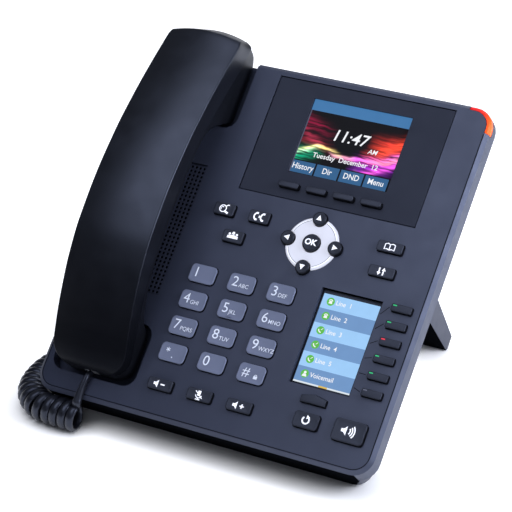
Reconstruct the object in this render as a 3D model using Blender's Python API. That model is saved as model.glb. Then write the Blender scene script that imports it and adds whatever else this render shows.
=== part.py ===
"""Desk network telephone: a sloping base on a folding stand, a corded handset, two displays and 38 keys.

Everything on the base is drawn in the frame of its sloping front face: a runs across to the right,
b up the slope and c out of the face, with the zero at the centre of the "5" key. Dimensions are in
millimetres there and are turned into metres as each mesh is written.
"""

import math

import bmesh
import bpy
from mathutils import Matrix, Vector

MM = 0.001

# ---- Placing of the face ----
TILT = math.radians(45.0)
FACE_ORIGIN = Vector((-3.25, -45.65, 67.175)) * MM
FACE = Matrix.Translation(FACE_ORIGIN) @ Matrix.Rotation(TILT, 4, "X")

# ---- Base housing ----
BASE_LEFT = -96.5
BASE_RIGHT = 103.0
BASE_FRONT = -67.0
BASE_BACK = 140.0
CORNER_R = 11.0
RIM_STEP = 2.0
RIM_DROP = 1.8
SKIRT = -10.8
PLATE = 2.8
WALL = 2.5
GAP = 0.35
SEAM = 0.3

TRAY_TOP = SKIRT - SEAM
TRAY_KNEE = -29.0
TRAY_BACK = -32.0
TRAY_WALL = 2.5
TRAY_INSET = 0.8
TRAY_DRAW = 8.2
TRAY_FRONT = BASE_FRONT + 1.0
FOOT_FLAT = 3.0
VENT_CORNER = (25.0, 106.0)
VENT_SIZE = (26.0, 1.8)
VENT_PITCH = (34.0, 4.0)
VENT_COLUMNS = 2
VENT_ROWS = 5

# ---- Message lamp: section as (inward, c) pairs, carried round the far right corner ----
LAMP_SECTION = ((2.3, -0.1), (2.3, -5.0), (0.05, -5.0), (0.05, -2.6), (0.35, -1.3), (1.2, -0.4))
LAMP_NOTCH = ((2.6, 1.0), (2.6, -5.3), (-1.0, -5.3), (-1.0, 1.0))
LAMP_ALONG_TOP = 3.4
LAMP_DOWN_SIDE = 2.6
LAMP_CENTRE = (BASE_RIGHT - 6.0, BASE_BACK - 6.0, -2.0)

# ---- Keys ----
KEY_TRAVEL = 1.2
KEY_BOTTOM = -4.0
KEY_EDGE = 0.45
DIAL_PITCH_A = 23.5
DIAL_PITCH_B = 15.2
DIAL_SIZE = (15.4, 10.2)
DIAL_R = 2.2
DIAL_RISE = 1.4
FUNCTION_RISE = 2.2
SOFT_RISE = 2.8
KEY_R = 0.9
CALL_KEYS = {"transfer_key": (-24.9, 53.2), "hold_key": (-3.8, 53.2), "conference_key": (-14.3, 39.3)}
CALL_SIZE = (12.0, 6.8)
SIDE_KEYS = {"phonebook_key": (73.2, 53.2), "swap_key": (73.2, 39.3)}
SIDE_SIZE = (14.4, 5.8)
VOLUME_KEYS = {"volume_down_key": (-23.6, -48.7), "mute_key": (0.0, -48.7), "volume_up_key": (23.6, -48.7)}
VOLUME_SIZE = (14.4, 6.2)
REDIAL_KEY = (61.7, -46.7, 14.0, 8.4, 1.5)
SPEAKER_KEY = (85.9, -46.4, 17.6, 11.8, 1.8)
LINE_KEYS = 6
LINE_PITCH = 9.4
LINE_FIRST = (90.6, 22.4)
LINE_SHAPE = (11.4, 4.1, 0.7)
SOFT_KEYS = 4
SOFT_PITCH = 16.2
SOFT_FIRST = (5.9, 74.4)
SOFT_SHAPE = (11.8, 3.2, 1.0)
PAGE_CENTRE = (61.7, -35.6)
PAGE_HALF = 7.1
PAGE_LOW = -2.0
PAGE_SHOULDER = 1.5
PAGE_PEAK = 3.1

NAV_CENTRE = (30.0, 45.8)
NAV_RADIUS = 14.8
NAV_KEY_ORBIT = 13.9
NAV_KEY_R = 3.9
OK_KEY_R = 4.9
NAV_KEY_RISE = 2.6
NAV_RISE = 0.8
NAV_SIDE = 0.2
NAV_BEVEL = 0.8
NAV_BOTTOM = -2.4

# ---- Displays ----
BEZEL = (-22.3, 81.7, 67.2, 135.3)
BEZEL_TOP = -0.15
BEZEL_BOTTOM = -1.3
BEZEL_LEDGE = 3.0
BEZEL_LOW_LEDGE = 11.8
BEZEL_R = 0.8
BEZEL_BEVEL = 0.35
MAIN_VIEW = (1.7, 59.3, 83.0, 126.2)
MAIN_MODULE = (-3.0, 64.0, 80.5, 129.4)
SIDE_WINDOW = (44.2, 79.1, -28.8, 24.4)
SIDE_TOP = -2.2
MODULE_DEPTH = 3.4
MODULE_GAP = 0.4

# ---- Handset and its cradle ----
HANDSET_A = -65.0
HANDSET_HALF = 22.5
HANDSET_CROWN = 2.4
HANDSET_SHELL = 2.0
EAR_TIP = 148.6
MOUTH_TIP = -52.0
CUP_BOTTOM = -7.9
CUP_FLOOR = -8.2
CUP_FLOOR_UNDER = -10.2
EAR_CUP = (-92.2, -37.8, 99.0)
MOUTH_CUP = (-90.8, -39.2, -54.6, -19.0)
CUP_R = 7.0
CUP_WALL = 2.0
HOOK = (-65.0, 111.0, 14.0, 5.0)
HOOK_R = 1.2
HOOK_EDGE = 0.6
HOOK_BOTTOM = -14.5
GRILLE = (-84.0, -44.8, -1.6, 75.6)
GRILLE_DEPTH = 0.8
SOUND_SLOTS = 8
SOUND_SLOT_PITCH = 4.9
SOUND_SLOT_WIDTH = 1.7
SOUND_SLOT_MARGIN = 1.5
HANDSET_EDGE = 0.3
MOUTH_R = 11.0
INNER_MOUTH_R = 10.0
TOP_EAR = (138.0, 17.0)
LOW_EAR = (144.5, 18.0)
INNER_EAR = (144.0, 18.0)
EAR_BOW = 1.8
EAR_BOW_START = 110.0
EAR_BOW_RUN = 30.0
RECEIVER = (122.0, 14.5, -5.4, 3.2)
MICROPHONE = (-35.0, 4.8, -5.4, 0.6)

# ---- Jacks ----
JACK_BLOCK = (-82.0, 8.0, 84.0, 98.0)
JACK_FACE = -31.6
JACK_TOP = -14.5
# name -> (centre a, centre b, width, height, depth)
SOCKETS = {"handset": (-75.0, 91.0, 8.0, 7.0, 11.0), "headset": (-60.0, 91.0, 8.0, 7.0, 11.0),
           "network": (-41.0, 91.0, 12.0, 8.6, 13.0), "computer": (-21.0, 91.0, 12.0, 8.6, 13.0),
           "power": (-3.0, 91.0, 8.0, 8.0, 11.0)}

# ---- Inside the base ----
BOARD_OUTLINE = ((96.0, -60.0), (96.0, 132.0), (-30.0, 132.0), (-30.0, 96.5), (-84.0, 96.5), (-84.0, 80.0),
                 (-30.0, 80.0), (-30.0, -60.0))
BOARD_LEVELS = (-13.2, -11.6)
KEY_MAT = (-34.0, 98.0, -58.0, 78.0)
KEY_MAT_R = 3.0
KEY_MAT_LEVELS = (-11.3, -5.7)
KEY_MAT_CLEAR = 0.6
SPEAKER_CENTRE = (-65.0, 37.0, -8.0)
SPEAKER_CONE_R = 21.0
SPEAKER_MAGNET_R = 11.0
SPEAKER_LEVELS = (-17.0, -10.0, -6.0, -PLATE - SEAM)

# ---- Stand ----
STAND_SIDES = (-62.0, 68.5)
STAND_AXIS = (56.0, -35.9)
STAND_R = 3.5
STAND_FOOT = -140.7
STAND_WALL = 3.0
STAND_FOOT_FRONT = 44.3
STAND_FOOT_BACK = 53.7
STAND_FOOT_EDGE = 1.4
STAND_TOP = TRAY_BACK - 0.4
STAND_TOP_REACH = 18.9
STAND_FLOOR = 6.0
PIN_R = 2.0
PIN_REACH = 3.2
EAR_WIDTH = 4.5
EAR_GAP = 0.5
EAR_HALF = 4.5
EAR_DEEP = 3.8

# ---- Cord: the lead over the front edge on the face's frame, the rest in the row frame's millimetres ----
CORD_D = 3.6
COIL_D = 17.0
COIL_HEIGHT = 8.7
PLUG_HALF = 3.6
PLUG_C = (-1.6, 2.8)
PLUG_DEEP = -41.4
PLUG_START = 0.2
BASE_PLUG_HALF = 3.1
BASE_PLUG_OUT = 6.0
BASE_PLUG_IN = 10.0
TAIL_LAST = (18.0, 6.3)
LEAD_ON_FACE = ((-65.0, -52.15, 0.9), (-65.05, -52.8, 1.05), (-65.2, -54.6, 2.4), (-65.4, -57.5, 2.8),
                (-65.9, -63.0, 2.5), (-66.4, -67.4, 1.7))
LEAD_DROP = ((-70.3, -96.6, 18.4), (-70.7, -97.6, 15.4), (-70.8, -97.9, 12.4))
COIL_ROUTE = ((-73.0, -95.3), (-84.0, -95.3), (-95.8, -93.8), (-105.4, -86.0), (-110.8, -73.5), (-112.5, -57.5),
              (-108.5, -42.0), (-99.5, -27.0), (-90.5, -11.0), (-86.5, 9.0), (-86.0, 36.0), (-84.5, 62.0),
              (-79.5, 85.0), (-66.5, 104.0), (-43.0, 110.0))
TAIL_ROUTE = ((-42.7, 110.05, 8.7), (-35.0, 110.8, 9.0), (-28.5, 106.0, 16.0), (-30.5, 99.0, 28.0),
              (-42.0, 89.0, 46.0), (-57.0, 78.5, 66.0), (-70.5, 67.5, 84.0))


def clear_scene():
    for obj in list(bpy.data.objects):
        bpy.data.objects.remove(obj, do_unlink=True)


def material(name, colour, roughness, metallic=0.0):
    mat = bpy.data.materials.new(name)
    mat.use_nodes = True
    shader = mat.node_tree.nodes["Principled BSDF"]
    shader.inputs["Base Color"].default_value = (*colour, 1.0)
    shader.inputs["Roughness"].default_value = roughness
    shader.inputs["Metallic"].default_value = metallic
    mat.diffuse_color = (*colour, 1.0)
    return mat


def rounded_rect(a0, a1, b0, b1, radius, steps=4):
    """Corner points of a rounded rectangle, anticlockwise from the lower right corner."""
    centres = ((a1 - radius, b0 + radius), (a1 - radius, b1 - radius), (a0 + radius, b1 - radius),
               (a0 + radius, b0 + radius))
    points = []
    for corner, (ca, cb) in enumerate(centres):
        start = math.radians(-90 + 90 * corner)
        for step in range(steps + 1):
            angle = start + math.radians(90) * step / steps
            points.append((ca + radius * math.cos(angle), cb + radius * math.sin(angle)))
    return points


def circle(ca, cb, radius, count=20):
    return [(ca + radius * math.cos(math.tau * i / count), cb + radius * math.sin(math.tau * i / count))
            for i in range(count)]


def box_outline(a0, a1, b0, b1):
    return [(a1, b0), (a1, b1), (a0, b1), (a0, b0)]


def middle_of(sides):
    a0, a1, b0, b1 = sides
    return (a0 + a1) / 2, (b0 + b1) / 2


class Shape:
    """Gathers closed bodies in face coordinates and writes them as one mesh."""

    def __init__(self):
        self.bm = bmesh.new()

    def rings(self, rings):
        """A closed body skinned over rings of (a, b, c) points, all with the same count."""
        rows = [[self.bm.verts.new(point) for point in ring] for ring in rings]
        count = len(rows[0])
        made = []
        for low, high in zip(rows, rows[1:]):
            for i in range(count):
                j = (i + 1) % count
                made.append(self.bm.faces.new((low[i], low[j], high[j], high[i])))
        made.append(self.bm.faces.new(rows[0][::-1]))
        made.append(self.bm.faces.new(rows[-1]))
        bmesh.ops.recalc_face_normals(self.bm, faces=made)
        return self

    def stack(self, *layers):
        """A body skinned over outlines, each layer being (outline, c)."""
        return self.rings([[(a, b, c) for a, b in outline] for outline, c in layers])

    def across(self, profile, a0, a1):
        """A (b, c) profile drawn out along a."""
        return self.rings([[(a, b, c) for b, c in profile] for a in (a0, a1)])

    def finish(self, name, mat=None, origin=(0.0, 0.0, 0.0)):
        for vert in self.bm.verts:
            vert.co = (vert.co - Vector(origin)) * MM
        mesh = bpy.data.meshes.new(name)
        bmesh.ops.recalc_face_normals(self.bm, faces=self.bm.faces[:])
        self.bm.to_mesh(mesh)
        self.bm.free()
        obj = bpy.data.objects.new(name, mesh)
        obj.matrix_world = FACE @ Matrix.Translation(Vector(origin) * MM)
        bpy.context.scene.collection.objects.link(obj)
        if mat is None:
            obj.hide_render = True
            obj.display_type = "WIRE"
        else:
            mesh.materials.append(mat)
        return obj


def boolean(obj, other, operation):
    modifier = obj.modifiers.new(other.name, "BOOLEAN")
    modifier.operation = operation
    modifier.solver = "EXACT"
    modifier.object = other


def smooth(obj, angle=35.0):
    obj.data.shade_smooth()
    obj.data.set_sharp_from_angle(angle=math.radians(angle))


def grow(outline_args, amount):
    a0, a1, b0, b1 = outline_args
    return (a0 - amount, a1 + amount, b0 - amount, b1 + amount)


def curve_through(points, steps):
    """Points along a smooth curve that passes through every given point."""
    ends = [points[0] * 2 - points[1]] + list(points) + [points[-1] * 2 - points[-2]]
    out = []
    for i in range(1, len(ends) - 2):
        p0, p1, p2, p3 = ends[i - 1:i + 3]
        for step in range(steps):
            t = step / steps
            out.append(0.5 * ((2 * p1) + (p2 - p0) * t + (2 * p0 - 5 * p1 + 4 * p2 - p3) * t ** 2
                              + (3 * p1 - p0 - 3 * p2 + p3) * t ** 3))
    out.append(points[-1])
    return out


# ---- Key layout: name -> (a, b, width, height, corner radius, rise) ----

def dial_keys():
    names = ("key_1", "key_2", "key_3", "key_4", "key_5", "key_6", "key_7", "key_8", "key_9",
             "key_star", "key_0", "key_hash")
    layout = {}
    for index, name in enumerate(names):
        column = index % 3 - 1
        row = 1 - index // 3
        layout[name] = (column * DIAL_PITCH_A, row * DIAL_PITCH_B, *DIAL_SIZE, DIAL_R, DIAL_RISE)
    return layout


def function_keys():
    layout = {}
    for places, size in ((CALL_KEYS, CALL_SIZE), (SIDE_KEYS, SIDE_SIZE), (VOLUME_KEYS, VOLUME_SIZE)):
        for name, place in places.items():
            layout[name] = (*place, *size, KEY_R, FUNCTION_RISE)
    layout["redial_key"] = (*REDIAL_KEY, FUNCTION_RISE)
    layout["speaker_key"] = (*SPEAKER_KEY, FUNCTION_RISE)
    a, b = LINE_FIRST
    for row in range(LINE_KEYS):
        layout[f"line_key_{row + 1}"] = (a, b - LINE_PITCH * row, *LINE_SHAPE, FUNCTION_RISE)
    a, b = SOFT_FIRST
    for column in range(SOFT_KEYS):
        layout[f"softkey_{column + 1}"] = (a + SOFT_PITCH * column, b, *SOFT_SHAPE, SOFT_RISE)
    return layout


def key_outline(name, layout, amount=0.0):
    a, b, width, height, radius, _ = layout[name]
    sides = (a - width / 2, a + width / 2, b - height / 2, b + height / 2)
    return rounded_rect(*grow(sides, amount), radius + amount, 3)


def page_outline(amount=0.0):
    """The page key's flat-bottomed outline with a low peak in its far edge."""
    a, b = PAGE_CENTRE
    left, right = a - PAGE_HALF - amount, a + PAGE_HALF + amount
    low, shoulder, peak = b + PAGE_LOW - amount, b + PAGE_SHOULDER + amount, b + PAGE_PEAK + amount
    return [(right, low), (right, shoulder), (a, peak), (left, shoulder), (left, low)]


def nav_spots():
    ca, cb = NAV_CENTRE
    return {"nav_up": (ca, cb + NAV_KEY_ORBIT, NAV_KEY_R), "nav_down": (ca, cb - NAV_KEY_ORBIT, NAV_KEY_R),
            "nav_left": (ca - NAV_KEY_ORBIT, cb, NAV_KEY_R), "nav_right": (ca + NAV_KEY_ORBIT, cb, NAV_KEY_R),
            "ok_key": (ca, cb, OK_KEY_R)}


def inset(outline, amount):
    """Each point moved towards the outline's middle by the given amount along both axes."""
    mid_a = (min(p[0] for p in outline) + max(p[0] for p in outline)) / 2
    mid_b = (min(p[1] for p in outline) + max(p[1] for p in outline)) / 2
    half_a = max(p[0] for p in outline) - mid_a
    half_b = max(p[1] for p in outline) - mid_b
    scale_a, scale_b = 1 - amount / half_a, 1 - amount / half_b
    return [(mid_a + (a - mid_a) * scale_a, mid_b + (b - mid_b) * scale_b) for a, b in outline]


def key_cap(name, outline, rise, mat):
    mid_a = (min(p[0] for p in outline) + max(p[0] for p in outline)) / 2
    mid_b = (min(p[1] for p in outline) + max(p[1] for p in outline)) / 2
    shape = Shape().stack((outline, KEY_BOTTOM), (outline, rise - KEY_EDGE), (inset(outline, KEY_EDGE), rise))
    return shape.finish(name, mat, (mid_a, mid_b, 0.0))


def build_keys(mats):
    dial = dial_keys()
    for name in dial:
        key_cap(name, key_outline(name, dial), DIAL_RISE, mats["dial_key"])
    function = function_keys()
    for name, spec in function.items():
        key_cap(name, key_outline(name, function), spec[5], mats["function_key"])
    key_cap("page_key", page_outline(), FUNCTION_RISE, mats["function_key"])
    for name, (a, b, radius) in nav_spots().items():
        key_cap(name, circle(a, b, radius), NAV_KEY_RISE, mats["function_key"])


def key_holes():
    """Every key's opening through the face, as disjoint bodies of one cutter."""
    shape = Shape()
    for layout in (dial_keys(), function_keys()):
        for name in layout:
            outline = key_outline(name, layout, GAP)
            shape.stack((outline, KEY_BOTTOM), (outline, 1.0))
    outline = page_outline(GAP)
    shape.stack((outline, KEY_BOTTOM), (outline, 1.0))
    return shape


def nav_opening():
    """The silver disc's opening with a lobe for each arrow key, as one outline."""
    ca, cb = NAV_CENTRE
    disc = NAV_RADIUS + SEAM
    lobe = NAV_KEY_R + GAP
    meet = math.acos((disc ** 2 + NAV_KEY_ORBIT ** 2 - lobe ** 2) / (2 * disc * NAV_KEY_ORBIT))
    tip_half = math.acos((lobe ** 2 + NAV_KEY_ORBIT ** 2 - disc ** 2) / (2 * lobe * NAV_KEY_ORBIT))
    points = []
    for quarter in range(4):
        middle = math.pi / 2 * quarter
        key = (ca + NAV_KEY_ORBIT * math.cos(middle), cb + NAV_KEY_ORBIT * math.sin(middle))
        reach = math.pi - tip_half
        for step in range(-4, 5):
            angle = middle + reach * step / 4
            points.append((key[0] + lobe * math.cos(angle), key[1] + lobe * math.sin(angle)))
        for step in range(1, 5):
            angle = middle + meet + (math.pi / 2 - 2 * meet) * step / 5
            points.append((ca + disc * math.cos(angle), cb + disc * math.sin(angle)))
    return points


def base_outline(amount, steps=6):
    """The base's plan, moved inwards by the amount."""
    return rounded_rect(BASE_LEFT + amount, BASE_RIGHT - amount, BASE_FRONT + amount, BASE_BACK - amount,
                        CORNER_R - amount, steps)


def lamp_path():
    """Unit frames along the top right corner: (a, b, outward a, outward b) on the outer edge."""
    ca, cb = BASE_RIGHT - CORNER_R, BASE_BACK - CORNER_R
    frames = [(ca, BASE_BACK, 0.0, 1.0)]
    for step in range(1, 6):
        angle = math.radians(90 - 90 * step / 6)
        frames.append((ca + CORNER_R * math.cos(angle), cb + CORNER_R * math.sin(angle), math.cos(angle),
                       math.sin(angle)))
    frames.append((BASE_RIGHT, cb, 1.0, 0.0))
    frames.append((BASE_RIGHT, cb - LAMP_DOWN_SIDE, 1.0, 0.0))
    return [(ca - LAMP_ALONG_TOP, BASE_BACK, 0.0, 1.0)] + frames


def lamp_sweep(profile, stretch=0.0):
    """The (inward, c) profile carried along the corner, its two ends moved out by the stretch."""
    frames = lamp_path()
    first, last = frames[0], frames[-1]
    frames[0] = (first[0] - stretch, *first[1:])
    frames[-1] = (last[0], last[1] - stretch, *last[2:])
    return Shape().rings([[(a - oa * inward, b - ob * inward, c) for inward, c in profile]
                          for a, b, oa, ob in frames])


def build_message_lamp(mats):
    smooth(lamp_sweep(LAMP_SECTION).finish("message_lamp", mats["lamp"], LAMP_CENTRE))


def build_upper_housing(mats):
    """The front cover: plate, rim, skirt, cradle cups, and every opening for a key or a display."""
    shape = Shape().stack((base_outline(RIM_STEP), 0.0), (base_outline(0.0), -RIM_DROP),
                          (base_outline(0.0), SKIRT))
    obj = shape.finish("upper_housing", mats["housing"])
    boolean(obj, Shape().stack((base_outline(WALL), SKIRT - 1.0), (base_outline(WALL), -PLATE))
            .finish("housing_hollow"), "DIFFERENCE")

    cut_cradle(obj)
    cut_face(obj)
    cut_grille(obj)
    cut_bezel_seat(obj)
    boolean(obj, lamp_sweep(LAMP_NOTCH, SEAM).finish("lamp_notch"), "DIFFERENCE")


def cut_cradle(obj):
    """The two cups that the handset's ends drop into, the far one open to the back edge."""
    ear_a0, ear_a1, ear_b0 = EAR_CUP
    ear_walls = rounded_rect(ear_a0 - CUP_WALL, ear_a1 + CUP_WALL, ear_b0 - CUP_WALL, BASE_BACK - 0.02,
                             CUP_R + CUP_WALL)
    mouth_walls = rounded_rect(*grow(MOUTH_CUP, CUP_WALL), CUP_R + CUP_WALL)
    cups = Shape().stack((ear_walls, CUP_FLOOR_UNDER), (ear_walls, -PLATE + 0.5))
    cups.stack((mouth_walls, CUP_FLOOR_UNDER), (mouth_walls, -PLATE + 0.5))
    boolean(obj, cups.finish("cup_walls"), "UNION")

    hollow = Shape()
    ear = rounded_rect(ear_a0, ear_a1, ear_b0, BASE_BACK + 20.0, CUP_R)
    mouth = rounded_rect(*MOUTH_CUP, CUP_R)
    hollow.stack((ear, CUP_FLOOR), (ear, 1.0))
    hollow.stack((mouth, CUP_FLOOR), (mouth, 1.0))
    boolean(obj, hollow.finish("cup_hollows"), "DIFFERENCE")


def cut_face(obj):
    """The openings for the keys, the arrow keys' disc, the side display, the hook and the grille's panel."""
    boolean(obj, key_holes().finish("key_openings"), "DIFFERENCE")
    more = Shape()
    nav = nav_opening()
    more.stack((nav, KEY_BOTTOM), (nav, 1.0))
    window = box_outline(*SIDE_WINDOW)
    more.stack((window, KEY_BOTTOM), (window, 1.0))
    hook = box_outline(HOOK[0] - HOOK[2] / 2 - SEAM, HOOK[0] + HOOK[2] / 2 + SEAM,
                       HOOK[1] - HOOK[3] / 2 - SEAM, HOOK[1] + HOOK[3] / 2 + SEAM)
    more.stack((hook, CUP_FLOOR_UNDER - 1.0), (hook, CUP_FLOOR + 1.0))
    grille = box_outline(*GRILLE)
    more.stack((grille, -GRILLE_DEPTH), (grille, 1.0))
    boolean(obj, more.finish("face_openings"), "DIFFERENCE")


def cut_grille(obj):
    """Slots through the face under the grille's panel."""
    slots = Shape()
    for slot in range(SOUND_SLOTS):
        a = GRILLE[0] + SOUND_SLOT_MARGIN + SOUND_SLOT_PITCH * slot
        outline = box_outline(a, a + SOUND_SLOT_WIDTH, GRILLE[2] + SOUND_SLOT_MARGIN, GRILLE[3] - SOUND_SLOT_MARGIN)
        slots.stack((outline, -PLATE - 1.0), (outline, 0.0))
    boolean(obj, slots.finish("sound_slots"), "DIFFERENCE")


def cut_bezel_seat(obj):
    """The shallow seat the bezel lies in, and the opening the main display shows through."""
    recess = box_outline(*grow(BEZEL, SEAM))
    boolean(obj, Shape().stack((recess, BEZEL_BOTTOM - SEAM), (recess, 2.0)).finish("bezel_recess"), "DIFFERENCE")
    through = box_outline(BEZEL[0] + BEZEL_LEDGE, BEZEL[1] - BEZEL_LEDGE, BEZEL[2] + BEZEL_LOW_LEDGE,
                          BEZEL[3] - BEZEL_LEDGE)
    boolean(obj, Shape().stack((through, KEY_BOTTOM), (through, 2.0)).finish("bezel_through"), "DIFFERENCE")


def tray_outline(amount, level, steps=6):
    """The back shell's plan at a level c: the sides and the far edge draw in, the front stays upright."""
    side = TRAY_INSET + TRAY_DRAW * (TRAY_TOP - level) / (TRAY_TOP - TRAY_KNEE) + amount
    return rounded_rect(BASE_LEFT + side, BASE_RIGHT - side, TRAY_FRONT + amount, BASE_BACK - side,
                        CORNER_R - 2.0 - amount / 2, steps)


def back_outline(amount, steps=6):
    """The flat back's plan, drawn in past the knee so that its front corner is the foot."""
    side = TRAY_INSET + TRAY_DRAW + FOOT_FLAT + amount
    return rounded_rect(BASE_LEFT + side, BASE_RIGHT - side, TRAY_FRONT + FOOT_FLAT + amount,
                        BASE_BACK - side, CORNER_R - 3.0 - amount / 2, steps)


def build_lower_housing(mats):
    """The back shell: an open tray with its foot edge, jack opening, vents and hinge ears."""
    shape = Shape().stack((tray_outline(0.0, TRAY_TOP), TRAY_TOP), (tray_outline(0.0, TRAY_KNEE), TRAY_KNEE),
                          (back_outline(0.0), TRAY_BACK))
    obj = shape.finish("lower_housing", mats["housing_back"])
    inner_floor = TRAY_BACK + TRAY_WALL
    hollow = Shape().stack((tray_outline(TRAY_WALL, TRAY_TOP), TRAY_TOP + 1.0),
                           (tray_outline(TRAY_WALL, TRAY_TOP), TRAY_TOP),
                           (tray_outline(TRAY_WALL, TRAY_KNEE), TRAY_KNEE),
                           (back_outline(TRAY_WALL), inner_floor))
    boolean(obj, hollow.finish("tray_hollow"), "DIFFERENCE")

    add_hinge(obj)

    cuts = Shape()
    jack = box_outline(*grow(JACK_BLOCK, SEAM))
    cuts.stack((jack, TRAY_BACK - 1.0), (jack, inner_floor + 1.0))
    for row in range(VENT_ROWS):
        for column in range(VENT_COLUMNS):
            a = VENT_CORNER[0] + VENT_PITCH[0] * column
            b = VENT_CORNER[1] + VENT_PITCH[1] * row
            vent = box_outline(a, a + VENT_SIZE[0], b, b + VENT_SIZE[1])
            cuts.stack((vent, TRAY_BACK - 1.0), (vent, inner_floor + 1.0))
    boolean(obj, cuts.finish("back_openings"), "DIFFERENCE")


def add_hinge(obj):
    """An ear outside each of the stand's sides, with the pin that the stand turns on."""
    ears, pins = Shape(), Shape()
    axis_b, axis_c = STAND_AXIS
    low, knee = axis_c - EAR_DEEP, axis_c - 2.0
    profile = [(axis_b + EAR_HALF, TRAY_BACK + 1.0), (axis_b - EAR_HALF, TRAY_BACK + 1.0), (axis_b - 4.0, knee),
               (axis_b - 2.0, low), (axis_b + 2.0, low), (axis_b + 4.0, knee)]
    for side in (-1, 1):
        inner = STAND_SIDES[1] + EAR_GAP if side > 0 else STAND_SIDES[0] - EAR_GAP
        ears.across(profile, *sorted((inner, inner + side * EAR_WIDTH)))
        pins.across(circle(axis_b, axis_c, PIN_R, 16), *sorted((inner + side * 1.0, inner - side * PIN_REACH)))
    boolean(obj, ears.finish("hinge_ears"), "UNION")
    boolean(obj, pins.finish("hinge_pins"), "UNION")


def build_displays(mats):
    bezel = rounded_rect(*BEZEL, BEZEL_R, 2)
    top = rounded_rect(*grow(BEZEL, -BEZEL_BEVEL), BEZEL_R - 0.2, 2)
    obj = Shape().stack((bezel, BEZEL_BOTTOM), (bezel, BEZEL_TOP - BEZEL_BEVEL), (top, BEZEL_TOP)) \
        .finish("display_bezel", mats["bezel"])
    cuts = Shape()
    window = box_outline(*grow(MAIN_VIEW, MODULE_GAP))
    cuts.stack((window, BEZEL_BOTTOM - 1.0), (window, 1.0))
    function = function_keys()
    for column in range(SOFT_KEYS):
        outline = key_outline(f"softkey_{column + 1}", function, GAP)
        cuts.stack((outline, BEZEL_BOTTOM - 1.0), (outline, 1.0))
    boolean(obj, cuts.finish("bezel_openings"), "DIFFERENCE")

    module = box_outline(*MAIN_MODULE)
    module_top = BEZEL_BOTTOM - SEAM
    Shape().stack((module, module_top - MODULE_DEPTH), (module, module_top)) \
        .finish("main_display", mats["screen"], (*middle_of(MAIN_VIEW), module_top))

    panel = box_outline(*grow(SIDE_WINDOW, -SEAM))
    Shape().stack((panel, SIDE_TOP - MODULE_DEPTH), (panel, SIDE_TOP)) \
        .finish("side_display", mats["side_screen"], (*middle_of(SIDE_WINDOW), SIDE_TOP))


def build_nav_ring(mats):
    ca, cb = NAV_CENTRE
    disc = circle(ca, cb, NAV_RADIUS, 48)
    top = circle(ca, cb, NAV_RADIUS - NAV_BEVEL, 48)
    obj = Shape().stack((disc, NAV_BOTTOM), (disc, NAV_SIDE), (top, NAV_RISE)) \
        .finish("nav_ring", mats["nav_ring"], (ca, cb, 0.0))
    cuts = Shape()
    for a, b, radius in nav_spots().values():
        outline = circle(a, b, radius + GAP, 24)
        cuts.stack((outline, NAV_BOTTOM - 1.0), (outline, 3.0))
    boolean(obj, cuts.finish("nav_openings"), "DIFFERENCE")


def build_electronics(mats):
    under, top = BOARD_LEVELS
    Shape().stack((BOARD_OUTLINE, under), (BOARD_OUTLINE, top)).finish("circuit_board", mats["circuit_board"])

    under, top = KEY_MAT_LEVELS
    pad = rounded_rect(*KEY_MAT, KEY_MAT_R, 2)
    obj = Shape().stack((pad, under), (pad, top)).finish("key_mat", mats["key_mat"])
    hole = box_outline(*grow(SIDE_WINDOW, KEY_MAT_CLEAR))
    boolean(obj, Shape().stack((hole, under - 1.0), (hole, top + 1.0)).finish("mat_opening"), "DIFFERENCE")

    block = box_outline(*JACK_BLOCK)
    obj = Shape().stack((block, JACK_FACE), (block, JACK_TOP)).finish("jack_block", mats["jack_block"])
    cuts = Shape()
    for a, b, width, height, depth in SOCKETS.values():
        socket = box_outline(a - width / 2, a + width / 2, b - height / 2, b + height / 2)
        cuts.stack((socket, JACK_FACE - 1.0), (socket, JACK_FACE + depth))
    boolean(obj, cuts.finish("sockets"), "DIFFERENCE")

    ca, cb, _ = SPEAKER_CENTRE
    magnet, cone = circle(ca, cb, SPEAKER_MAGNET_R, 24), circle(ca, cb, SPEAKER_CONE_R, 24)
    smooth(Shape().stack(*zip((magnet, magnet, cone, cone), SPEAKER_LEVELS))
           .finish("loudspeaker", mats["loudspeaker"], SPEAKER_CENTRE))

    a, b, width, height = HOOK
    pad = rounded_rect(a - width / 2, a + width / 2, b - height / 2, b + height / 2, HOOK_R, 3)
    Shape().stack((pad, HOOK_BOTTOM), (pad, CUP_FLOOR - HOOK_EDGE), (inset(pad, HOOK_EDGE), CUP_FLOOR)) \
        .finish("hook_switch", mats["hook_switch"], (a, b, CUP_FLOOR))


def build_stand(mats):
    """A wedge-sided plate square to the back: side walls, front plate and foot, open behind."""
    axis_b, axis_c = STAND_AXIS
    side = [(axis_b - STAND_R, axis_c), (STAND_FOOT_FRONT, STAND_FOOT + STAND_FOOT_EDGE),
            (STAND_FOOT_FRONT + STAND_FOOT_EDGE, STAND_FOOT), (STAND_FOOT_BACK, STAND_FOOT),
            (axis_b + STAND_TOP_REACH, STAND_TOP), (axis_b, STAND_TOP), (axis_b - 2.5, axis_c + 2.4)]
    left, right = STAND_SIDES
    obj = Shape().across(side, left, right).finish("desk_stand", mats["stand"], (0.0, axis_b, axis_c))
    floor, roof = STAND_FOOT + STAND_FLOOR, axis_c - STAND_FLOOR
    trough = [(axis_b - 0.2, roof), (STAND_FOOT_FRONT + 3.6, floor), (STAND_FOOT_BACK + 8.0, floor),
              (axis_b + 30.0, roof)]
    boolean(obj, Shape().across(trough, left + STAND_WALL, right - STAND_WALL).finish("stand_trough"), "DIFFERENCE")
    bores = Shape()
    for inner, outer in ((left + STAND_WALL + 1.0, left - 1.0), (right - STAND_WALL - 1.0, right + 1.0)):
        bores.across(circle(axis_b, axis_c, PIN_R + SEAM, 16), *sorted((inner, outer)))
    boolean(obj, bores.finish("stand_bores"), "DIFFERENCE")


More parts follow.
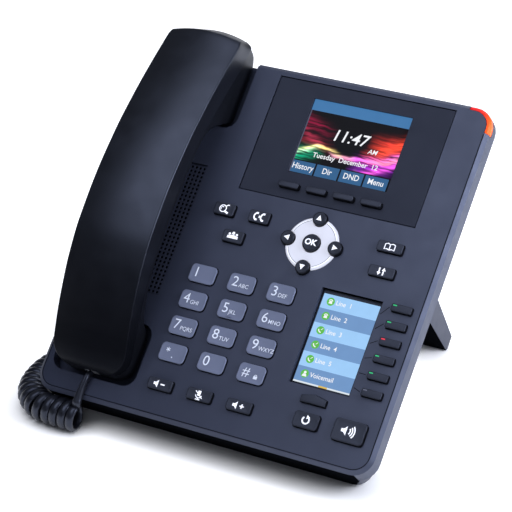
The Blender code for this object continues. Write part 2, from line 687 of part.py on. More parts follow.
# ---- Handset: heights of the top edge, the seam and the underside along b ----
TOP_EDGE = ((-52.0, 5.4), (-50.5, 8.2), (-46.0, 11.4), (-38.0, 15.6), (-28.0, 20.6), (-16.0, 25.6), (0.0, 31.0),
            (20.0, 34.9), (45.0, 36.1), (72.0, 34.4), (98.0, 30.1), (120.0, 25.0), (137.5, 20.0), (140.6, 19.2),
            (142.6, 18.5), (145.6, 13.0), (147.6, 9.2), (148.6, 7.4))
SEAM_EDGE = ((-52.0, 4.1), (-43.0, 5.2), (-33.0, 9.0), (-20.0, 13.8), (-5.0, 18.4), (15.0, 22.6), (45.0, 24.5),
             (75.0, 22.8), (105.0, 16.4), (130.0, 9.0), (141.0, 6.5), (148.6, 5.4))
UNDERSIDE = ((-51.6, -3.0), (-49.0, -6.6), (-46.0, CUP_BOTTOM), (-27.0, CUP_BOTTOM), (-22.5, -1.5), (-18.0, 6.0),
             (-9.0, 11.2), (1.0, 15.6), (18.0, 18.9), (45.0, 20.5), (70.0, 20.0), (84.0, 18.2), (92.0, 13.0),
             (98.5, 4.0), (102.5, -3.5), (106.5, CUP_BOTTOM), (138.0, CUP_BOTTOM), (143.0, -5.2), (146.4, -0.6),
             (148.2, 2.0))


def along(profile, b):
    """The profile's height at b, joined by straight lines."""
    for (b0, c0), (b1, c1) in zip(profile, profile[1:]):
        if b <= b1:
            return c0 + (c1 - c0) * max(0.0, b - b0) / (b1 - b0)
    return profile[-1][1]


def half_width(b, mouth_r, ear_start, ear_half):
    """Half the handset's width at b, rounded in plan at both ends."""
    into = b - MOUTH_TIP
    if into < mouth_r:
        return HANDSET_HALF - mouth_r + math.sqrt(mouth_r ** 2 - (mouth_r - max(into, 0.15)) ** 2)
    if b > ear_start:
        part = (b - ear_start) / (EAR_TIP - ear_start)
        return HANDSET_HALF - (HANDSET_HALF - ear_half) * part ** 2
    return HANDSET_HALF


def bow(b):
    """How far the far end's edge bulges in the middle."""
    part = min(1.0, max(0.0, (b - EAR_BOW_START) / EAR_BOW_RUN))
    return EAR_BOW * part ** 2


def outer_rings(stations, margin, drop, floor_drop):
    rings = []
    for b in stations:
        top_half = half_width(b, MOUTH_R, *TOP_EAR) - margin
        low_half = half_width(b, MOUTH_R, *LOW_EAR) - margin
        top, low = along(TOP_EDGE, b) - drop, along(SEAM_EDGE, b) - floor_drop
        top = max(top, low + 0.9)
        ring = [(HANDSET_A + low_half, b, low)]
        for step in range(7):
            s = 1 - step / 3
            ring.append((HANDSET_A + top_half * s, b + bow(b) * (1 - s * s), top + HANDSET_CROWN * (1 - s * s)))
        ring.append((HANDSET_A - low_half, b, low))
        ring.append((HANDSET_A, b + bow(b), low))
        rings.append(ring)
    return rings


def inner_rings(stations, margin, lift, top_lift):
    rings = []
    for b in stations:
        half = half_width(b, INNER_MOUTH_R, *INNER_EAR) - HANDSET_EDGE - margin
        low = along(UNDERSIDE, b) + lift
        top = max(along(SEAM_EDGE, b) - SEAM + top_lift, low + 1.2)
        taper = 1.8 if low < 3.0 else 0.9
        edge = min(2.0, (top - low) * 0.4)
        rings.append([(HANDSET_A + half, b, top), (HANDSET_A + half - taper * 0.5, b, low + edge),
                      (HANDSET_A + half - taper - edge * 0.6, b, low),
                      (HANDSET_A - half + taper + edge * 0.6, b, low),
                      (HANDSET_A - half + taper * 0.5, b, low + edge), (HANDSET_A - half, b, top)][::-1])
    return rings


def build_handset(mats):
    outer_b = [-52.0, -51.4, -50.0, -47.0, -43.0, -38.0, -33.0, -28.0, -20.0, -10.0, 0.0, 15.0, 30.0, 45.0, 60.0,
               75.0, 90.0, 105.0, 120.0, 132.0, 138.0, 140.6, 142.6, 145.6, 147.6, 148.6]
    shell = Shape().rings(outer_rings(outer_b, 0.0, 0.0, 0.0)) \
        .finish("handset_outer_shell", mats["handset"], (HANDSET_A, 45.0, 20.0))
    hollow_b = [b for b in outer_b if MOUTH_TIP + 3.0 < b < EAR_TIP - 3.5]
    hollow = Shape().rings(outer_rings(hollow_b, HANDSET_SHELL, HANDSET_SHELL + 0.2, 1.0))
    boolean(shell, hollow.finish("outer_hollow"), "DIFFERENCE")
    smooth(shell, 30.0)

    inner_b = [-51.6, -51.0, -49.0, -46.0, -42.0, -33.0, -27.0, -22.5, -18.0, -9.0, 1.0, 18.0, 32.0, 45.0, 60.0,
               75.0, 84.0, 92.0, 98.5, 102.5, 106.5, 130.0, 138.0, 143.0, 146.4, 148.2]
    shell = Shape().rings(inner_rings(inner_b, 0.0, 0.0, 0.0)) \
        .finish("handset_inner_shell", mats["handset_inner"], (HANDSET_A, 45.0, 10.0))
    hollow_b = [b for b in inner_b if MOUTH_TIP + 3.0 < b < EAR_TIP - 4.0]
    hollow = Shape().rings(inner_rings(hollow_b, HANDSET_SHELL, HANDSET_SHELL, 1.0))
    boolean(shell, hollow.finish("inner_hollow"), "DIFFERENCE")
    a = HANDSET_A
    port_end = PLUG_DEEP + SEAM
    port = Shape().across([(MOUTH_TIP - 2.0, PLUG_C[1] + SEAM), (MOUTH_TIP - 2.0, PLUG_C[0] - SEAM),
                           (port_end, PLUG_C[0] - SEAM), (port_end, PLUG_C[1] + SEAM)],
                          a - PLUG_HALF - SEAM, a + PLUG_HALF + SEAM)
    boolean(shell, port.finish("handset_port"), "DIFFERENCE")
    smooth(shell, 30.0)

    for name, (b, radius, under, top) in (("handset_receiver", RECEIVER), ("handset_microphone", MICROPHONE)):
        disc = circle(a, b, radius, 24)
        smooth(Shape().stack((disc, under), (disc, top)).finish(name, mats["capsule"], (a, b, (under + top) / 2)))


def cord_tube(name, points, diameter, mat, sides):
    curve = bpy.data.curves.new(name, "CURVE")
    curve.dimensions = "3D"
    curve.bevel_depth = diameter / 2 * MM
    curve.bevel_resolution = sides
    curve.use_fill_caps = True
    spline = curve.splines.new("POLY")
    spline.points.add(len(points) - 1)
    for slot, point in zip(spline.points, points):
        slot.co = (*(point * MM), 1.0)
    curve.materials.append(mat)
    obj = bpy.data.objects.new(name, curve)
    bpy.context.scene.collection.objects.link(obj)
    return obj


def on_face(a, b, c):
    return FACE @ (Vector((a, b, c)) * MM) / MM


def build_cord(mats):
    """Plug, lead, coil as one fat tube, lead and plug, from the handset's mouth end round to the jacks."""
    a = HANDSET_A
    plug = box_outline(a - PLUG_HALF, a + PLUG_HALF, MOUTH_TIP + PLUG_START, PLUG_DEEP)
    Shape().stack((plug, PLUG_C[0]), (plug, PLUG_C[1])) \
        .finish("cord_handset_plug", mats["plug"], (a, MOUTH_TIP, sum(PLUG_C) / 2))
    lead = [on_face(*point) for point in LEAD_ON_FACE] + [Vector(point) for point in LEAD_DROP]
    cord_tube("cord_handset_lead", curve_through(lead, 4), CORD_D, mats["cord"], 2)
    coil = [Vector((x, y, COIL_HEIGHT)) for x, y in COIL_ROUTE]
    cord_tube("cord_coil", curve_through(coil, 4), COIL_D, mats["cord"], 3)

    socket_a, socket_b = SOCKETS["handset"][:2]
    plug = box_outline(socket_a - PLUG_HALF, socket_a + PLUG_HALF, socket_b - BASE_PLUG_HALF,
                       socket_b + BASE_PLUG_HALF)
    Shape().stack((plug, JACK_FACE - BASE_PLUG_OUT), (plug, JACK_FACE + BASE_PLUG_IN)) \
        .finish("cord_base_plug", mats["plug"], (socket_a, socket_b, JACK_FACE))
    tail = [Vector(point) for point in TAIL_ROUTE]
    tail += [on_face(socket_a, socket_b, JACK_FACE - below) for below in TAIL_LAST]
    cord_tube("cord_base_lead", curve_through(tail, 5), CORD_D, mats["cord"], 2)


def build_materials():
    return {
        "housing": material("housing_plastic", (0.036, 0.039, 0.058), 0.5),
        "housing_back": material("housing_back_plastic", (0.03, 0.032, 0.045), 0.55),
        "handset": material("handset_plastic", (0.024, 0.027, 0.04), 0.42),
        "handset_inner": material("handset_inner_plastic", (0.02, 0.022, 0.032), 0.5),
        "dial_key": material("dial_key_plastic", (0.15, 0.175, 0.275), 0.45),
        "function_key": material("function_key_plastic", (0.016, 0.016, 0.022), 0.5),
        "nav_ring": material("nav_ring_silver", (0.82, 0.82, 0.84), 0.3, 0.9),
        "bezel": material("bezel_plastic", (0.026, 0.027, 0.041), 0.4),
        "screen": material("main_screen_glass", (0.02, 0.03, 0.05), 0.15),
        "side_screen": material("side_screen_glass", (0.2, 0.4, 0.6), 0.2),
        "lamp": material("lamp_lens", (0.85, 0.05, 0.03), 0.3),
        "hook_switch": material("hook_plastic", (0.02, 0.02, 0.026), 0.5),
        "stand": material("stand_plastic", (0.03, 0.032, 0.045), 0.55),
        "circuit_board": material("circuit_board_green", (0.02, 0.12, 0.05), 0.5),
        "key_mat": material("key_mat_silicone", (0.3, 0.3, 0.32), 0.7),
        "jack_block": material("jack_plastic", (0.02, 0.02, 0.02), 0.5),
        "loudspeaker": material("loudspeaker_frame", (0.25, 0.25, 0.27), 0.5, 0.6),
        "capsule": material("capsule_metal", (0.4, 0.4, 0.42), 0.4, 0.7),
        "cord": material("cord_sheath", (0.05, 0.052, 0.066), 0.45),
        "plug": material("plug_clear_plastic", (0.35, 0.36, 0.38), 0.25),
    }


def main():
    clear_scene()
    mats = build_materials()
    build_upper_housing(mats)
    build_lower_housing(mats)
    build_displays(mats)
    build_nav_ring(mats)
    build_message_lamp(mats)
    build_keys(mats)
    build_electronics(mats)
    build_stand(mats)
    build_handset(mats)
    build_cord(mats)


main()
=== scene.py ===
import math

import bmesh
import bpy
from mathutils import Matrix, Vector


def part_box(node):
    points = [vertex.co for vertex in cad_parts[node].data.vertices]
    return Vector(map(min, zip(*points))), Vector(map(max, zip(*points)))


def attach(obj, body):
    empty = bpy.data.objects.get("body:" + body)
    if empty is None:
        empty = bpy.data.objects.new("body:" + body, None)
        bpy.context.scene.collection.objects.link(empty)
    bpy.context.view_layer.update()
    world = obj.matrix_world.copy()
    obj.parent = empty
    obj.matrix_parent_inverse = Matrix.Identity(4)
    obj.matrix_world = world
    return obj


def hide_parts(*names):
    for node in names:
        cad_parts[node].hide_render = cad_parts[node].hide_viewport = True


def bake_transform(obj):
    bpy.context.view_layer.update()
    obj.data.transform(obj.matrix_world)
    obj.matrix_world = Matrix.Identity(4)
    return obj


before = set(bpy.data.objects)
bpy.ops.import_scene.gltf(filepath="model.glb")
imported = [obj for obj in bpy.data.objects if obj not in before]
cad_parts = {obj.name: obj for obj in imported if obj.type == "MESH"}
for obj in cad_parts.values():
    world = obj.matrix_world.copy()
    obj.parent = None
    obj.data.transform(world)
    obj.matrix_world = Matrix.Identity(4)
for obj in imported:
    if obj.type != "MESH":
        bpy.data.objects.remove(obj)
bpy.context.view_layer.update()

MM = 0.001

# ---- The front face's own frame: a across, b up the slope, c out of it, in millimetres ----
TILT = Matrix.Rotation(math.radians(45.0), 4, "X")
KEY_UNDERSIDE = -4.0


def face_frame():
    """The frame whose zero is the middle of the 5 key, level with the housing's face."""
    points = [TILT.inverted() @ v.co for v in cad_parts["key_5"].data.vertices]
    a, b = ((min(p[i] for p in points) + max(p[i] for p in points)) / 2 for i in (0, 1))
    return TILT @ Matrix.Translation((a, b, min(p[2] for p in points) - KEY_UNDERSIDE * MM))


FACE = face_frame()
FACE_INVERSE = FACE.inverted()


def face_box(node):
    """(a0, a1, b0, b1, c0, c1) of a CAD node in the face's frame."""
    points = [FACE_INVERSE @ v.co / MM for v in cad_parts[node].data.vertices]
    return tuple(pick(p[i] for p in points) for i in range(3) for pick in (min, max))


def on_face(a, b, c):
    """A point given in the face's frame, in the row frame's millimetres."""
    return FACE @ (Vector((a, b, c)) * MM) / MM


# ---- Camera, floor and light ----
CAMERA_PLACE = (0.48558, -0.92969, 0.58947)
CAMERA_TURN = (28.243, 25.884, 0.346)
CAMERA_LENS = 151.8
SENSOR = 36.0
FLOOR_REACH = 6.0
FLOOR_DROP = 0.0002
FLOOR_GLOW = 0.8
CONTACT_REACH = 0.018
PAPER = ((0.0, (0.90, 0.90, 0.91)), (1.0, (0.93, 0.93, 0.93)))
WORLD_COLOUR = (0.86, 0.90, 1.0, 1.0)
WORLD_STRENGTH = 0.12
LIGHT_COLOUR = (0.84, 0.88, 1.0)
# Each light's place, what it aims at, its size and its power.
LIGHTS = {
    "overhead_softbox": ((-0.20, -0.42, 1.25), (-0.02, 0.0, 0.08), (0.8, 1.25), 8.2),
    "right_softbox": ((0.72, 0.05, 0.42), (0.0, 0.0, 0.08), (0.5, 0.5), 7.5),
    "front_fill": ((0.6, -1.3, 0.9), (0.0, 0.0, 0.08), (0.7, 0.7), 1.2),
    "back_light": ((-0.2, 1.2, 0.9), (0.0, 0.0, 0.15), (0.8, 0.4), 4.0),
}


def add_object(name, data):
    obj = bpy.data.objects.new(name, data)
    bpy.context.scene.collection.objects.link(obj)
    return obj


def make_camera():
    azimuth, elevation, roll = (math.radians(x) for x in CAMERA_TURN)
    data = bpy.data.cameras.new("camera")
    data.lens = CAMERA_LENS
    data.sensor_width = SENSOR
    data.clip_start, data.clip_end = 0.05, 20.0
    camera = add_object("camera", data)
    aim = Matrix.Rotation(azimuth, 4, "Z") @ Matrix.Rotation(math.pi / 2 - elevation, 4, "X")
    camera.matrix_world = Matrix.Translation(CAMERA_PLACE) @ aim @ Matrix.Rotation(roll, 4, "Z")
    bpy.context.scene.camera = camera


def make_lights():
    scene = bpy.context.scene
    scene.view_settings.view_transform = "Standard"
    scene.world = bpy.data.worlds.new("studio")
    scene.world.use_nodes = True
    background = scene.world.node_tree.nodes["Background"]
    background.inputs["Color"].default_value = WORLD_COLOUR
    background.inputs["Strength"].default_value = WORLD_STRENGTH
    for name, (place, aim, size, power) in LIGHTS.items():
        data = bpy.data.lights.new(name, "AREA")
        data.shape = "RECTANGLE"
        data.size, data.size_y = size
        data.energy = power
        data.color = LIGHT_COLOUR
        turn = (Vector(aim) - Vector(place)).to_track_quat("-Z", "Y").to_matrix().to_4x4()
        add_object(name, data).matrix_world = Matrix.Translation(place) @ turn


def make_floor():
    """A plain pale sheet that glows evenly, with a painted contact shadow: the glow darkens close to what stands on
    it.
    """
    mesh = bpy.data.meshes.new("floor")
    corners = ((-1, -1), (1, -1), (1, 1), (-1, 1))
    mesh.from_pydata([(FLOOR_REACH * x, FLOOR_REACH * y, 0) for x, y in corners], [], [(0, 1, 2, 3)])
    obj = add_object("floor", mesh)
    obj.location.z = -FLOOR_DROP
    mat, tree = blank_material("pale_floor", {"Roughness": 0.8, "Specular IOR Level": 0.1})
    link_ramp(tree, noise(tree, 3.0, 2.0), PAPER, "Base Color", "Emission Color")
    # Painted contact shadow: ambient occlusion cuts the floor's glow near the phone and cord.
    contact = tree.nodes.new("ShaderNodeAmbientOcclusion")
    contact.inputs["Distance"].default_value = CONTACT_REACH
    link_range(tree, contact.outputs["AO"], "Emission Strength", 0.0, FLOOR_GLOW, 0.25, 1.0)
    mesh.materials.append(mat)


# ---- Material helpers ----
SHEEN = (0.66, 0.74, 1.0, 1.0)
CLOUDINESS = 0.07
GRAIN_DEPTH = 0.00004
DARK_GLASS = {"Base Color": (0.01, 0.01, 0.012, 1.0), "Roughness": 0.5, "Specular IOR Level": 0.04}


def rgb(red, green, blue):
    """A screen colour, 0 to 255, as the linear colour that shaders take."""
    shares = (value / 255 for value in (red, green, blue))
    return tuple(x / 12.92 if x <= 0.04045 else ((x + 0.055) / 1.055) ** 2.4 for x in shares)


def shade(colour, share):
    return tuple(x * share for x in colour)


def blank_material(name, sockets):
    """A material and its tree, with its shader's sockets set by name."""
    mat = bpy.data.materials.new(name)
    mat.use_nodes = True
    for socket, value in sockets.items():
        shader_of(mat.node_tree).inputs[socket].default_value = value
    return mat, mat.node_tree


def shader_of(tree):
    return tree.nodes["Principled BSDF"]


def feed(tree, value, socket):
    """Links a socket to another one, or sets it to a constant."""
    if isinstance(value, bpy.types.NodeSocket):
        tree.links.new(value, socket)
    else:
        socket.default_value = value


def coordinates(tree, source="Object"):
    return tree.nodes.new("ShaderNodeTexCoord").outputs[source]


def split_axes(tree, vector):
    split = tree.nodes.new("ShaderNodeSeparateXYZ")
    tree.links.new(vector, split.inputs["Vector"])
    return split.outputs


def math_node(tree, kind, *values):
    node = tree.nodes.new("ShaderNodeMath")
    node.operation = kind
    for socket, value in zip(node.inputs, values):
        feed(tree, value, socket)
    return node.outputs[0]


def vector_node(tree, kind, *values, scale=None, output=0):
    node = tree.nodes.new("ShaderNodeVectorMath")
    node.operation = kind
    for socket, value in zip(node.inputs, values):
        feed(tree, value, socket)
    if scale is not None:
        feed(tree, scale, node.inputs["Scale"])
    return node.outputs[output]


def noise(tree, scale, detail=2.0, vector=None):
    node = tree.nodes.new("ShaderNodeTexNoise")
    node.inputs["Scale"].default_value = scale
    node.inputs["Detail"].default_value = detail
    tree.links.new(vector or coordinates(tree), node.inputs["Vector"])
    return node.outputs["Fac"]


def link_ramp(tree, value, stops, *targets):
    """Colours picked by the value from stops of (place, colour), on the shader's named sockets."""
    node = tree.nodes.new("ShaderNodeValToRGB")
    ramp = node.color_ramp
    for element, (place, colour) in zip(ramp.elements, (stops[0], stops[-1])):
        element.position, element.color = place, (*colour, 1.0)
    for place, colour in stops[1:-1]:
        ramp.elements.new(place).color = (*colour, 1.0)
    tree.links.new(value, node.inputs["Fac"])
    for target in targets:
        tree.links.new(node.outputs["Color"], shader_of(tree).inputs[target])


def ranged(tree, value, start, end, low=0.0, high=1.0):
    """The value carried from start and end to low and high."""
    node = tree.nodes.new("ShaderNodeMapRange")
    for name, number in (("From Min", start), ("From Max", end), ("To Min", low), ("To Max", high)):
        node.inputs[name].default_value = number
    tree.links.new(value, node.inputs["Value"])
    return node.outputs["Result"]


def link_range(tree, value, target, low, high, start=0.3, end=0.7):
    tree.links.new(ranged(tree, value, start, end, low, high), shader_of(tree).inputs[target])


def moulded(name, colour, roughness, grain=1400.0, strength=0.12, specular=0.5):
    """Moulded plastic: a spark-eroded grain, a faint cloudiness and uneven gloss."""
    mat, tree = blank_material(name, {"Specular IOR Level": specular, "Specular Tint": SHEEN})
    stops = ((0.3, shade(colour, 1 - CLOUDINESS)), (0.7, shade(colour, 1 + CLOUDINESS)))
    link_ramp(tree, noise(tree, 28.0, 4.0), stops, "Base Color")
    link_range(tree, noise(tree, 90.0, 5.0), "Roughness", roughness - 0.04, roughness + 0.05)
    bump = tree.nodes.new("ShaderNodeBump")
    bump.inputs["Strength"].default_value = strength
    bump.inputs["Distance"].default_value = GRAIN_DEPTH
    tree.links.new(noise(tree, grain), bump.inputs["Height"])
    tree.links.new(bump.outputs["Normal"], shader_of(tree).inputs["Normal"])
    return mat


def lit(name, colour, glow=1.0):
    """A glowing area of a display or lamp under a clear surface, its light a little uneven."""
    mat, tree = blank_material(name, {**DARK_GLASS, "Emission Strength": glow})
    link_ramp(tree, noise(tree, 220.0), ((0.35, shade(colour, 0.97)), (0.65, colour)), "Emission Color")
    return mat


# ---- Shape helpers ----

def circle(a, b, radius, count=24, turn=0.0):
    """Points round a circle; turn is a share of one step."""
    angles = [math.tau * (i + turn) / count for i in range(count)]
    return [(a + radius * math.cos(angle), b + radius * math.sin(angle)) for angle in angles]


def rounded_rect(a0, a1, b0, b1, radius, steps=5):
    centres = ((a1 - radius, b0 + radius), (a1 - radius, b1 - radius), (a0 + radius, b1 - radius),
               (a0 + radius, b0 + radius))
    points = []
    for corner, (ca, cb) in enumerate(centres):
        for step in range(steps + 1):
            angle = math.radians(-90 + 90 * corner + 90 * step / steps)
            points.append((ca + radius * math.cos(angle), cb + radius * math.sin(angle)))
    return points


def rounding(radius, steps):
    """How far in and how far up each step of an edge's rounding lies."""
    angles = [math.pi / 2 * step / steps for step in range(steps + 1)]
    return [(radius * (1 - math.cos(angle)), radius * math.sin(angle)) for angle in angles]


def curve_through(points, steps):
    """Points along a smooth curve that passes through every given point."""
    ends = [points[0] * 2 - points[1]] + list(points) + [points[-1] * 2 - points[-2]]
    out = []
    for i in range(1, len(ends) - 2):
        p0, p1, p2, p3 = ends[i - 1:i + 3]
        for step in range(steps):
            t = step / steps
            out.append(0.5 * ((2 * p1) + (p2 - p0) * t + (2 * p0 - 5 * p1 + 4 * p2 - p3) * t ** 2
                              + (3 * p1 - p0 - 3 * p2 + p3) * t ** 3))
    out.append(points[-1])
    return out


class Piece:
    """Gathers faces in the face's frame, in millimetres, and makes them one object riding on a body."""

    def __init__(self, *materials):
        self.bm = bmesh.new()
        self.materials = materials

    def polygon(self, points, c=0.0, slot=0):
        face = self.bm.faces.new([self.bm.verts.new((a, b, c)) for a, b in points])
        face.material_index = slot
        return self

    def panel(self, a0, a1, b0, b1, c=0.0, slot=0):
        return self.polygon([(a0, b0), (a1, b0), (a1, b1), (a0, b1)], c, slot)

    def taper(self, a, b0, b1, half, top_half, c=0.0, slot=0):
        """A flat block whose foot and top have their own half widths."""
        return self.polygon([(a - half, b0), (a + half, b0), (a + top_half, b1), (a - top_half, b1)], c, slot)

    def rings(self, rings, slots=None):
        """A closed skin over rings of points; slots gives each band's material, and the last one the end cap's."""
        rows = [[self.bm.verts.new(point) for point in ring] for ring in rings]
        slots = slots or [0] * len(rows)
        count = len(rows[0])
        for band, (low, high) in enumerate(zip(rows, rows[1:])):
            for i in range(count):
                j = (i + 1) % count
                self.bm.faces.new((low[i], low[j], high[j], high[i])).material_index = slots[band]
        self.bm.faces.new(rows[0][::-1]).material_index = slots[0]
        self.bm.faces.new(rows[-1]).material_index = slots[-1]
        return self

    def box(self, a0, a1, b0, b1, c0, c1, slot=0, edge=0.0):
        """A block, its top edge softened by the given radius."""
        rings = [[(a, b, c0) for a, b in rounded_rect(a0, a1, b0, b1, edge + 0.01, 2)]]
        for pull, rise in rounding(edge, 3) if edge else [(0.0, 0.0)]:
            outline = rounded_rect(a0 + pull, a1 - pull, b0 + pull, b1 - pull, edge + 0.01, 2)
            rings.append([(a, b, c1 - edge + rise) for a, b in outline])
        return self.rings(rings, [slot] * len(rings))

    def disc(self, a, b, radius, c=0.0, slot=0):
        return self.polygon(circle(a, b, radius), c, slot)

    def stroke(self, points, width, c=0.0, slot=0):
        """A flat line of the given width along the points, with mitred joints."""
        sides = ([], [])
        for i, (a, b) in enumerate(points):
            before, after = points[max(i - 1, 0)], points[min(i + 1, len(points) - 1)]
            da, db = after[0] - before[0], after[1] - before[1]
            long = math.hypot(da, db) or 1.0
            na, nb = -db / long * width / 2, da / long * width / 2
            sides[0].append(self.bm.verts.new((a + na, b + nb, c)))
            sides[1].append(self.bm.verts.new((a - na, b - nb, c)))
        for i in range(len(points) - 1):
            face = self.bm.faces.new((sides[1][i], sides[1][i + 1], sides[0][i + 1], sides[0][i]))
            face.material_index = slot
        return self

    def arc(self, a, b, radius, start, end, width, c=0.0, slot=0, steps=12):
        turns = [math.radians(start + (end - start) * i / steps) for i in range(steps + 1)]
        return self.stroke([(a + radius * math.cos(turn), b + radius * math.sin(turn)) for turn in turns],
                           width, c, slot)

    def text(self, words, size, a, b, c=0.0, slot=0, align="CENTER", lean=0.0, weight=0.0, wide=1.0):
        curve = bpy.data.curves.new("words", "FONT")
        curve.body = words
        curve.size = size
        curve.align_x = align
        curve.align_y = "CENTER"
        curve.shear = lean
        curve.offset = weight
        curve.resolution_u = 3
        holder = bpy.data.objects.new("words", curve)
        mesh = bpy.data.meshes.new_from_object(holder)
        mesh.transform(Matrix.Translation((a, b, c)) @ Matrix.Diagonal((wide, 1.0, 1.0, 1.0)))
        before = len(self.bm.faces)
        self.bm.from_mesh(mesh)
        self.bm.faces.ensure_lookup_table()
        for face in self.bm.faces[before:]:
            face.material_index = slot
        bpy.data.meshes.remove(mesh)
        bpy.data.curves.remove(curve)
        return self

    def finish(self, name, body, smooth=35.0, recalc=True, material_slot=None):
        for vert in self.bm.verts:
            vert.co *= MM
        if recalc:
            bmesh.ops.recalc_face_normals(self.bm, faces=self.bm.faces[:])
        mesh = bpy.data.meshes.new(name)
        self.bm.to_mesh(mesh)
        self.bm.free()
        for mat in self.materials:
            mesh.materials.append(mat)
        if smooth:
            mesh.shade_smooth()
            mesh.set_sharp_from_angle(angle=math.radians(smooth))
        obj = add_object(name, mesh)
        obj.matrix_world = FACE
        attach(obj, body)
        return obj


def dress(node, mat, bevel=0.0):
    """Gives a CAD node its finish, softened edges and smooth rounds, without touching its points."""
    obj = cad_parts[node]
    obj.data.materials.clear()
    obj.data.materials.append(mat)
    for polygon in obj.data.polygons:
        polygon.material_index = 0
    obj.data.shade_smooth()
    if "custom_normal" in obj.data.attributes:
        obj.data.attributes.remove(obj.data.attributes["custom_normal"])
    weld = obj.modifiers.new("weld", "WELD")
    weld.merge_threshold = 0.000002
    if bevel:
        soft = obj.modifiers.new("soft_edges", "BEVEL")
        soft.width = bevel * MM
        soft.segments = 2
        soft.limit_method = "ANGLE"
        soft.angle_limit = math.radians(30.0)
    even = obj.modifiers.new("even_shading", "WEIGHTED_NORMAL")
    even.weight = 100


# ---- Finishes ----
HOUSING_BACK = moulded("back_plastic", rgb(46, 49, 62), 0.5, grain=1100.0, strength=0.2)
BEZEL = moulded("bezel_plastic", rgb(38, 41, 52), 0.5, grain=1900.0, strength=0.07, specular=0.25)
HANDSET_INNER = moulded("handset_inner_plastic", rgb(10, 11, 15), 0.42, specular=0.4)
DIAL_KEY = moulded("dial_key_lacquer", rgb(106, 113, 136), 0.38, grain=2400.0, strength=0.05)
# Near black that stands in for the shade on the keys' sides and in the gaps round them.
KEY_SIDE_SHADE = moulded("key_side_plastic", rgb(7, 7, 10), 0.6, specular=0.2)
DARK_KEY = moulded("dark_key_lacquer", rgb(30, 32, 40), 0.38, grain=2400.0, strength=0.05, specular=0.4)
ARROW_KEY = moulded("arrow_key_lacquer", rgb(13, 14, 18), 0.36, grain=2400.0, strength=0.05, specular=0.4)
# Dark print for the leader lines and the label; along the rim's seam it is painted shadow.
PRINT_AND_SHADE_LINE = moulded("leader_print_and_seam_shadow", rgb(8, 8, 12), 0.6, strength=0.03, specular=0.1)
BLACK = moulded("black_plastic", rgb(14, 14, 18), 0.45)
STAND = moulded("stand_plastic", rgb(50, 53, 66), 0.5, grain=1100.0, strength=0.2)
# Matt black as painted shade, on walls that face down and forwards and in the screws' recesses.
PAINTED_SHADE = moulded("painted_shade_plastic", rgb(8, 9, 12), 0.6, grain=1100.0, strength=0.2, specular=0.0)
SHEATH = moulded("cord_sheath", rgb(22, 23, 29), 0.3, grain=900.0, strength=0.05)
METAL = moulded("capsule_metal", rgb(150, 150, 156), 0.35)
SCREEN_WHITE = lit("screen_white", rgb(248, 250, 255))


def face_plastic():
    """The face's plastic: its gloss is cut towards the lower left, which sits in the handset's shade, as painted
    shade.
    """
    mat = moulded("face_plastic", rgb(47, 51, 66), 0.5)
    tree = mat.node_tree
    way = tuple(FACE.to_3x3() @ Vector((1.0, 0.35, 0.0)))
    across = vector_node(tree, "DOT_PRODUCT", coordinates(tree), way, output="Value")
    link_range(tree, across, "Specular IOR Level", 0.1, 0.85, -0.11, 0.12)
    return mat


def handset_with_painted_shade():
    """The handset's plastic, its gloss cut towards the mouth end as painted shade."""
    mat = moulded("handset_plastic", rgb(9, 10, 14), 0.37, grain=1700.0, strength=0.06, specular=0.62)
    tree = mat.node_tree
    up = split_axes(tree, coordinates(tree))["Y"]
    # Painted shade: the reflection is weaker towards the mouth end.
    link_range(tree, up, "Specular IOR Level", 0.06, 0.68, -0.035, 0.035)
    return mat


def printed(name, colour, glow):
    """Bright ink, a little uneven, with a glow of painted light that lifts it off its dark ground."""
    mat = moulded(name, colour, 0.5, strength=0.03, specular=0.2)
    tree = mat.node_tree
    link_ramp(tree, noise(tree, 500.0), ((0.3, shade(colour, 0.9)), (0.7, colour)), "Emission Color")
    # Painted light: the ink glows, though it is no lamp.
    shader_of(tree).inputs["Emission Strength"].default_value = glow
    return mat


def silver_paint_with_painted_light():
    """Bright satin paint with painted light: it glows, though it is no lamp, and is painted greyer to the upper right
    as shade on a dished plate.
    """
    mat, tree = blank_material("silver_paint_with_painted_light", {"Emission Strength": 0.8})
    low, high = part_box("nav_ring")
    reach = (high.x - low.x) / 2
    share = ranged(tree, split_axes(tree, coordinates(tree))["X"], -reach, reach)
    sweep = math_node(tree, "ADD", share, math_node(tree, "MULTIPLY", noise(tree, 900.0), 0.12))
    link_ramp(tree, sweep, SILVER_PAINTED_SHADE, "Base Color", "Emission Color")
    link_range(tree, noise(tree, 300.0, 3.0), "Roughness", 0.28, 0.38)
    return mat


def lamp_lens():
    """Red at the top edge running to orange round the corner, glowing inside."""
    mat, tree = blank_material("lamp_lens", {"Emission Strength": 0.6, "Specular IOR Level": 0.15})
    low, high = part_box("message_lamp")
    share = ranged(tree, split_axes(tree, coordinates(tree))["X"], low.x, high.x)
    link_ramp(tree, share, LAMP_SWEEP, "Base Color", "Emission Color")
    link_range(tree, noise(tree, 400.0), "Roughness", 0.3, 0.4)
    return mat


HOUSING = face_plastic()
HANDSET = handset_with_painted_shade()
# White print with a painted glow; it also draws the painted highlight on the silver disc's rim.
WHITE_PRINT_AND_HIGHLIGHT = printed("white_print_and_painted_highlight", rgb(240, 242, 250), 0.5)
PRINT_GREY = printed("grey_print", rgb(214, 220, 234), 0.22)
# Painted shade across the silver disc: grey at the left, white in the middle, greyer to the right.
SILVER_PAINTED_SHADE = ((0.0, rgb(206, 208, 218)), (0.26, rgb(250, 250, 252)), (0.62, rgb(250, 250, 252)),
                (1.0, rgb(178, 180, 192)))
LAMP_SWEEP = ((0.0, rgb(196, 22, 30)), (0.6, rgb(232, 44, 26)), (1.0, rgb(252, 92, 28)))


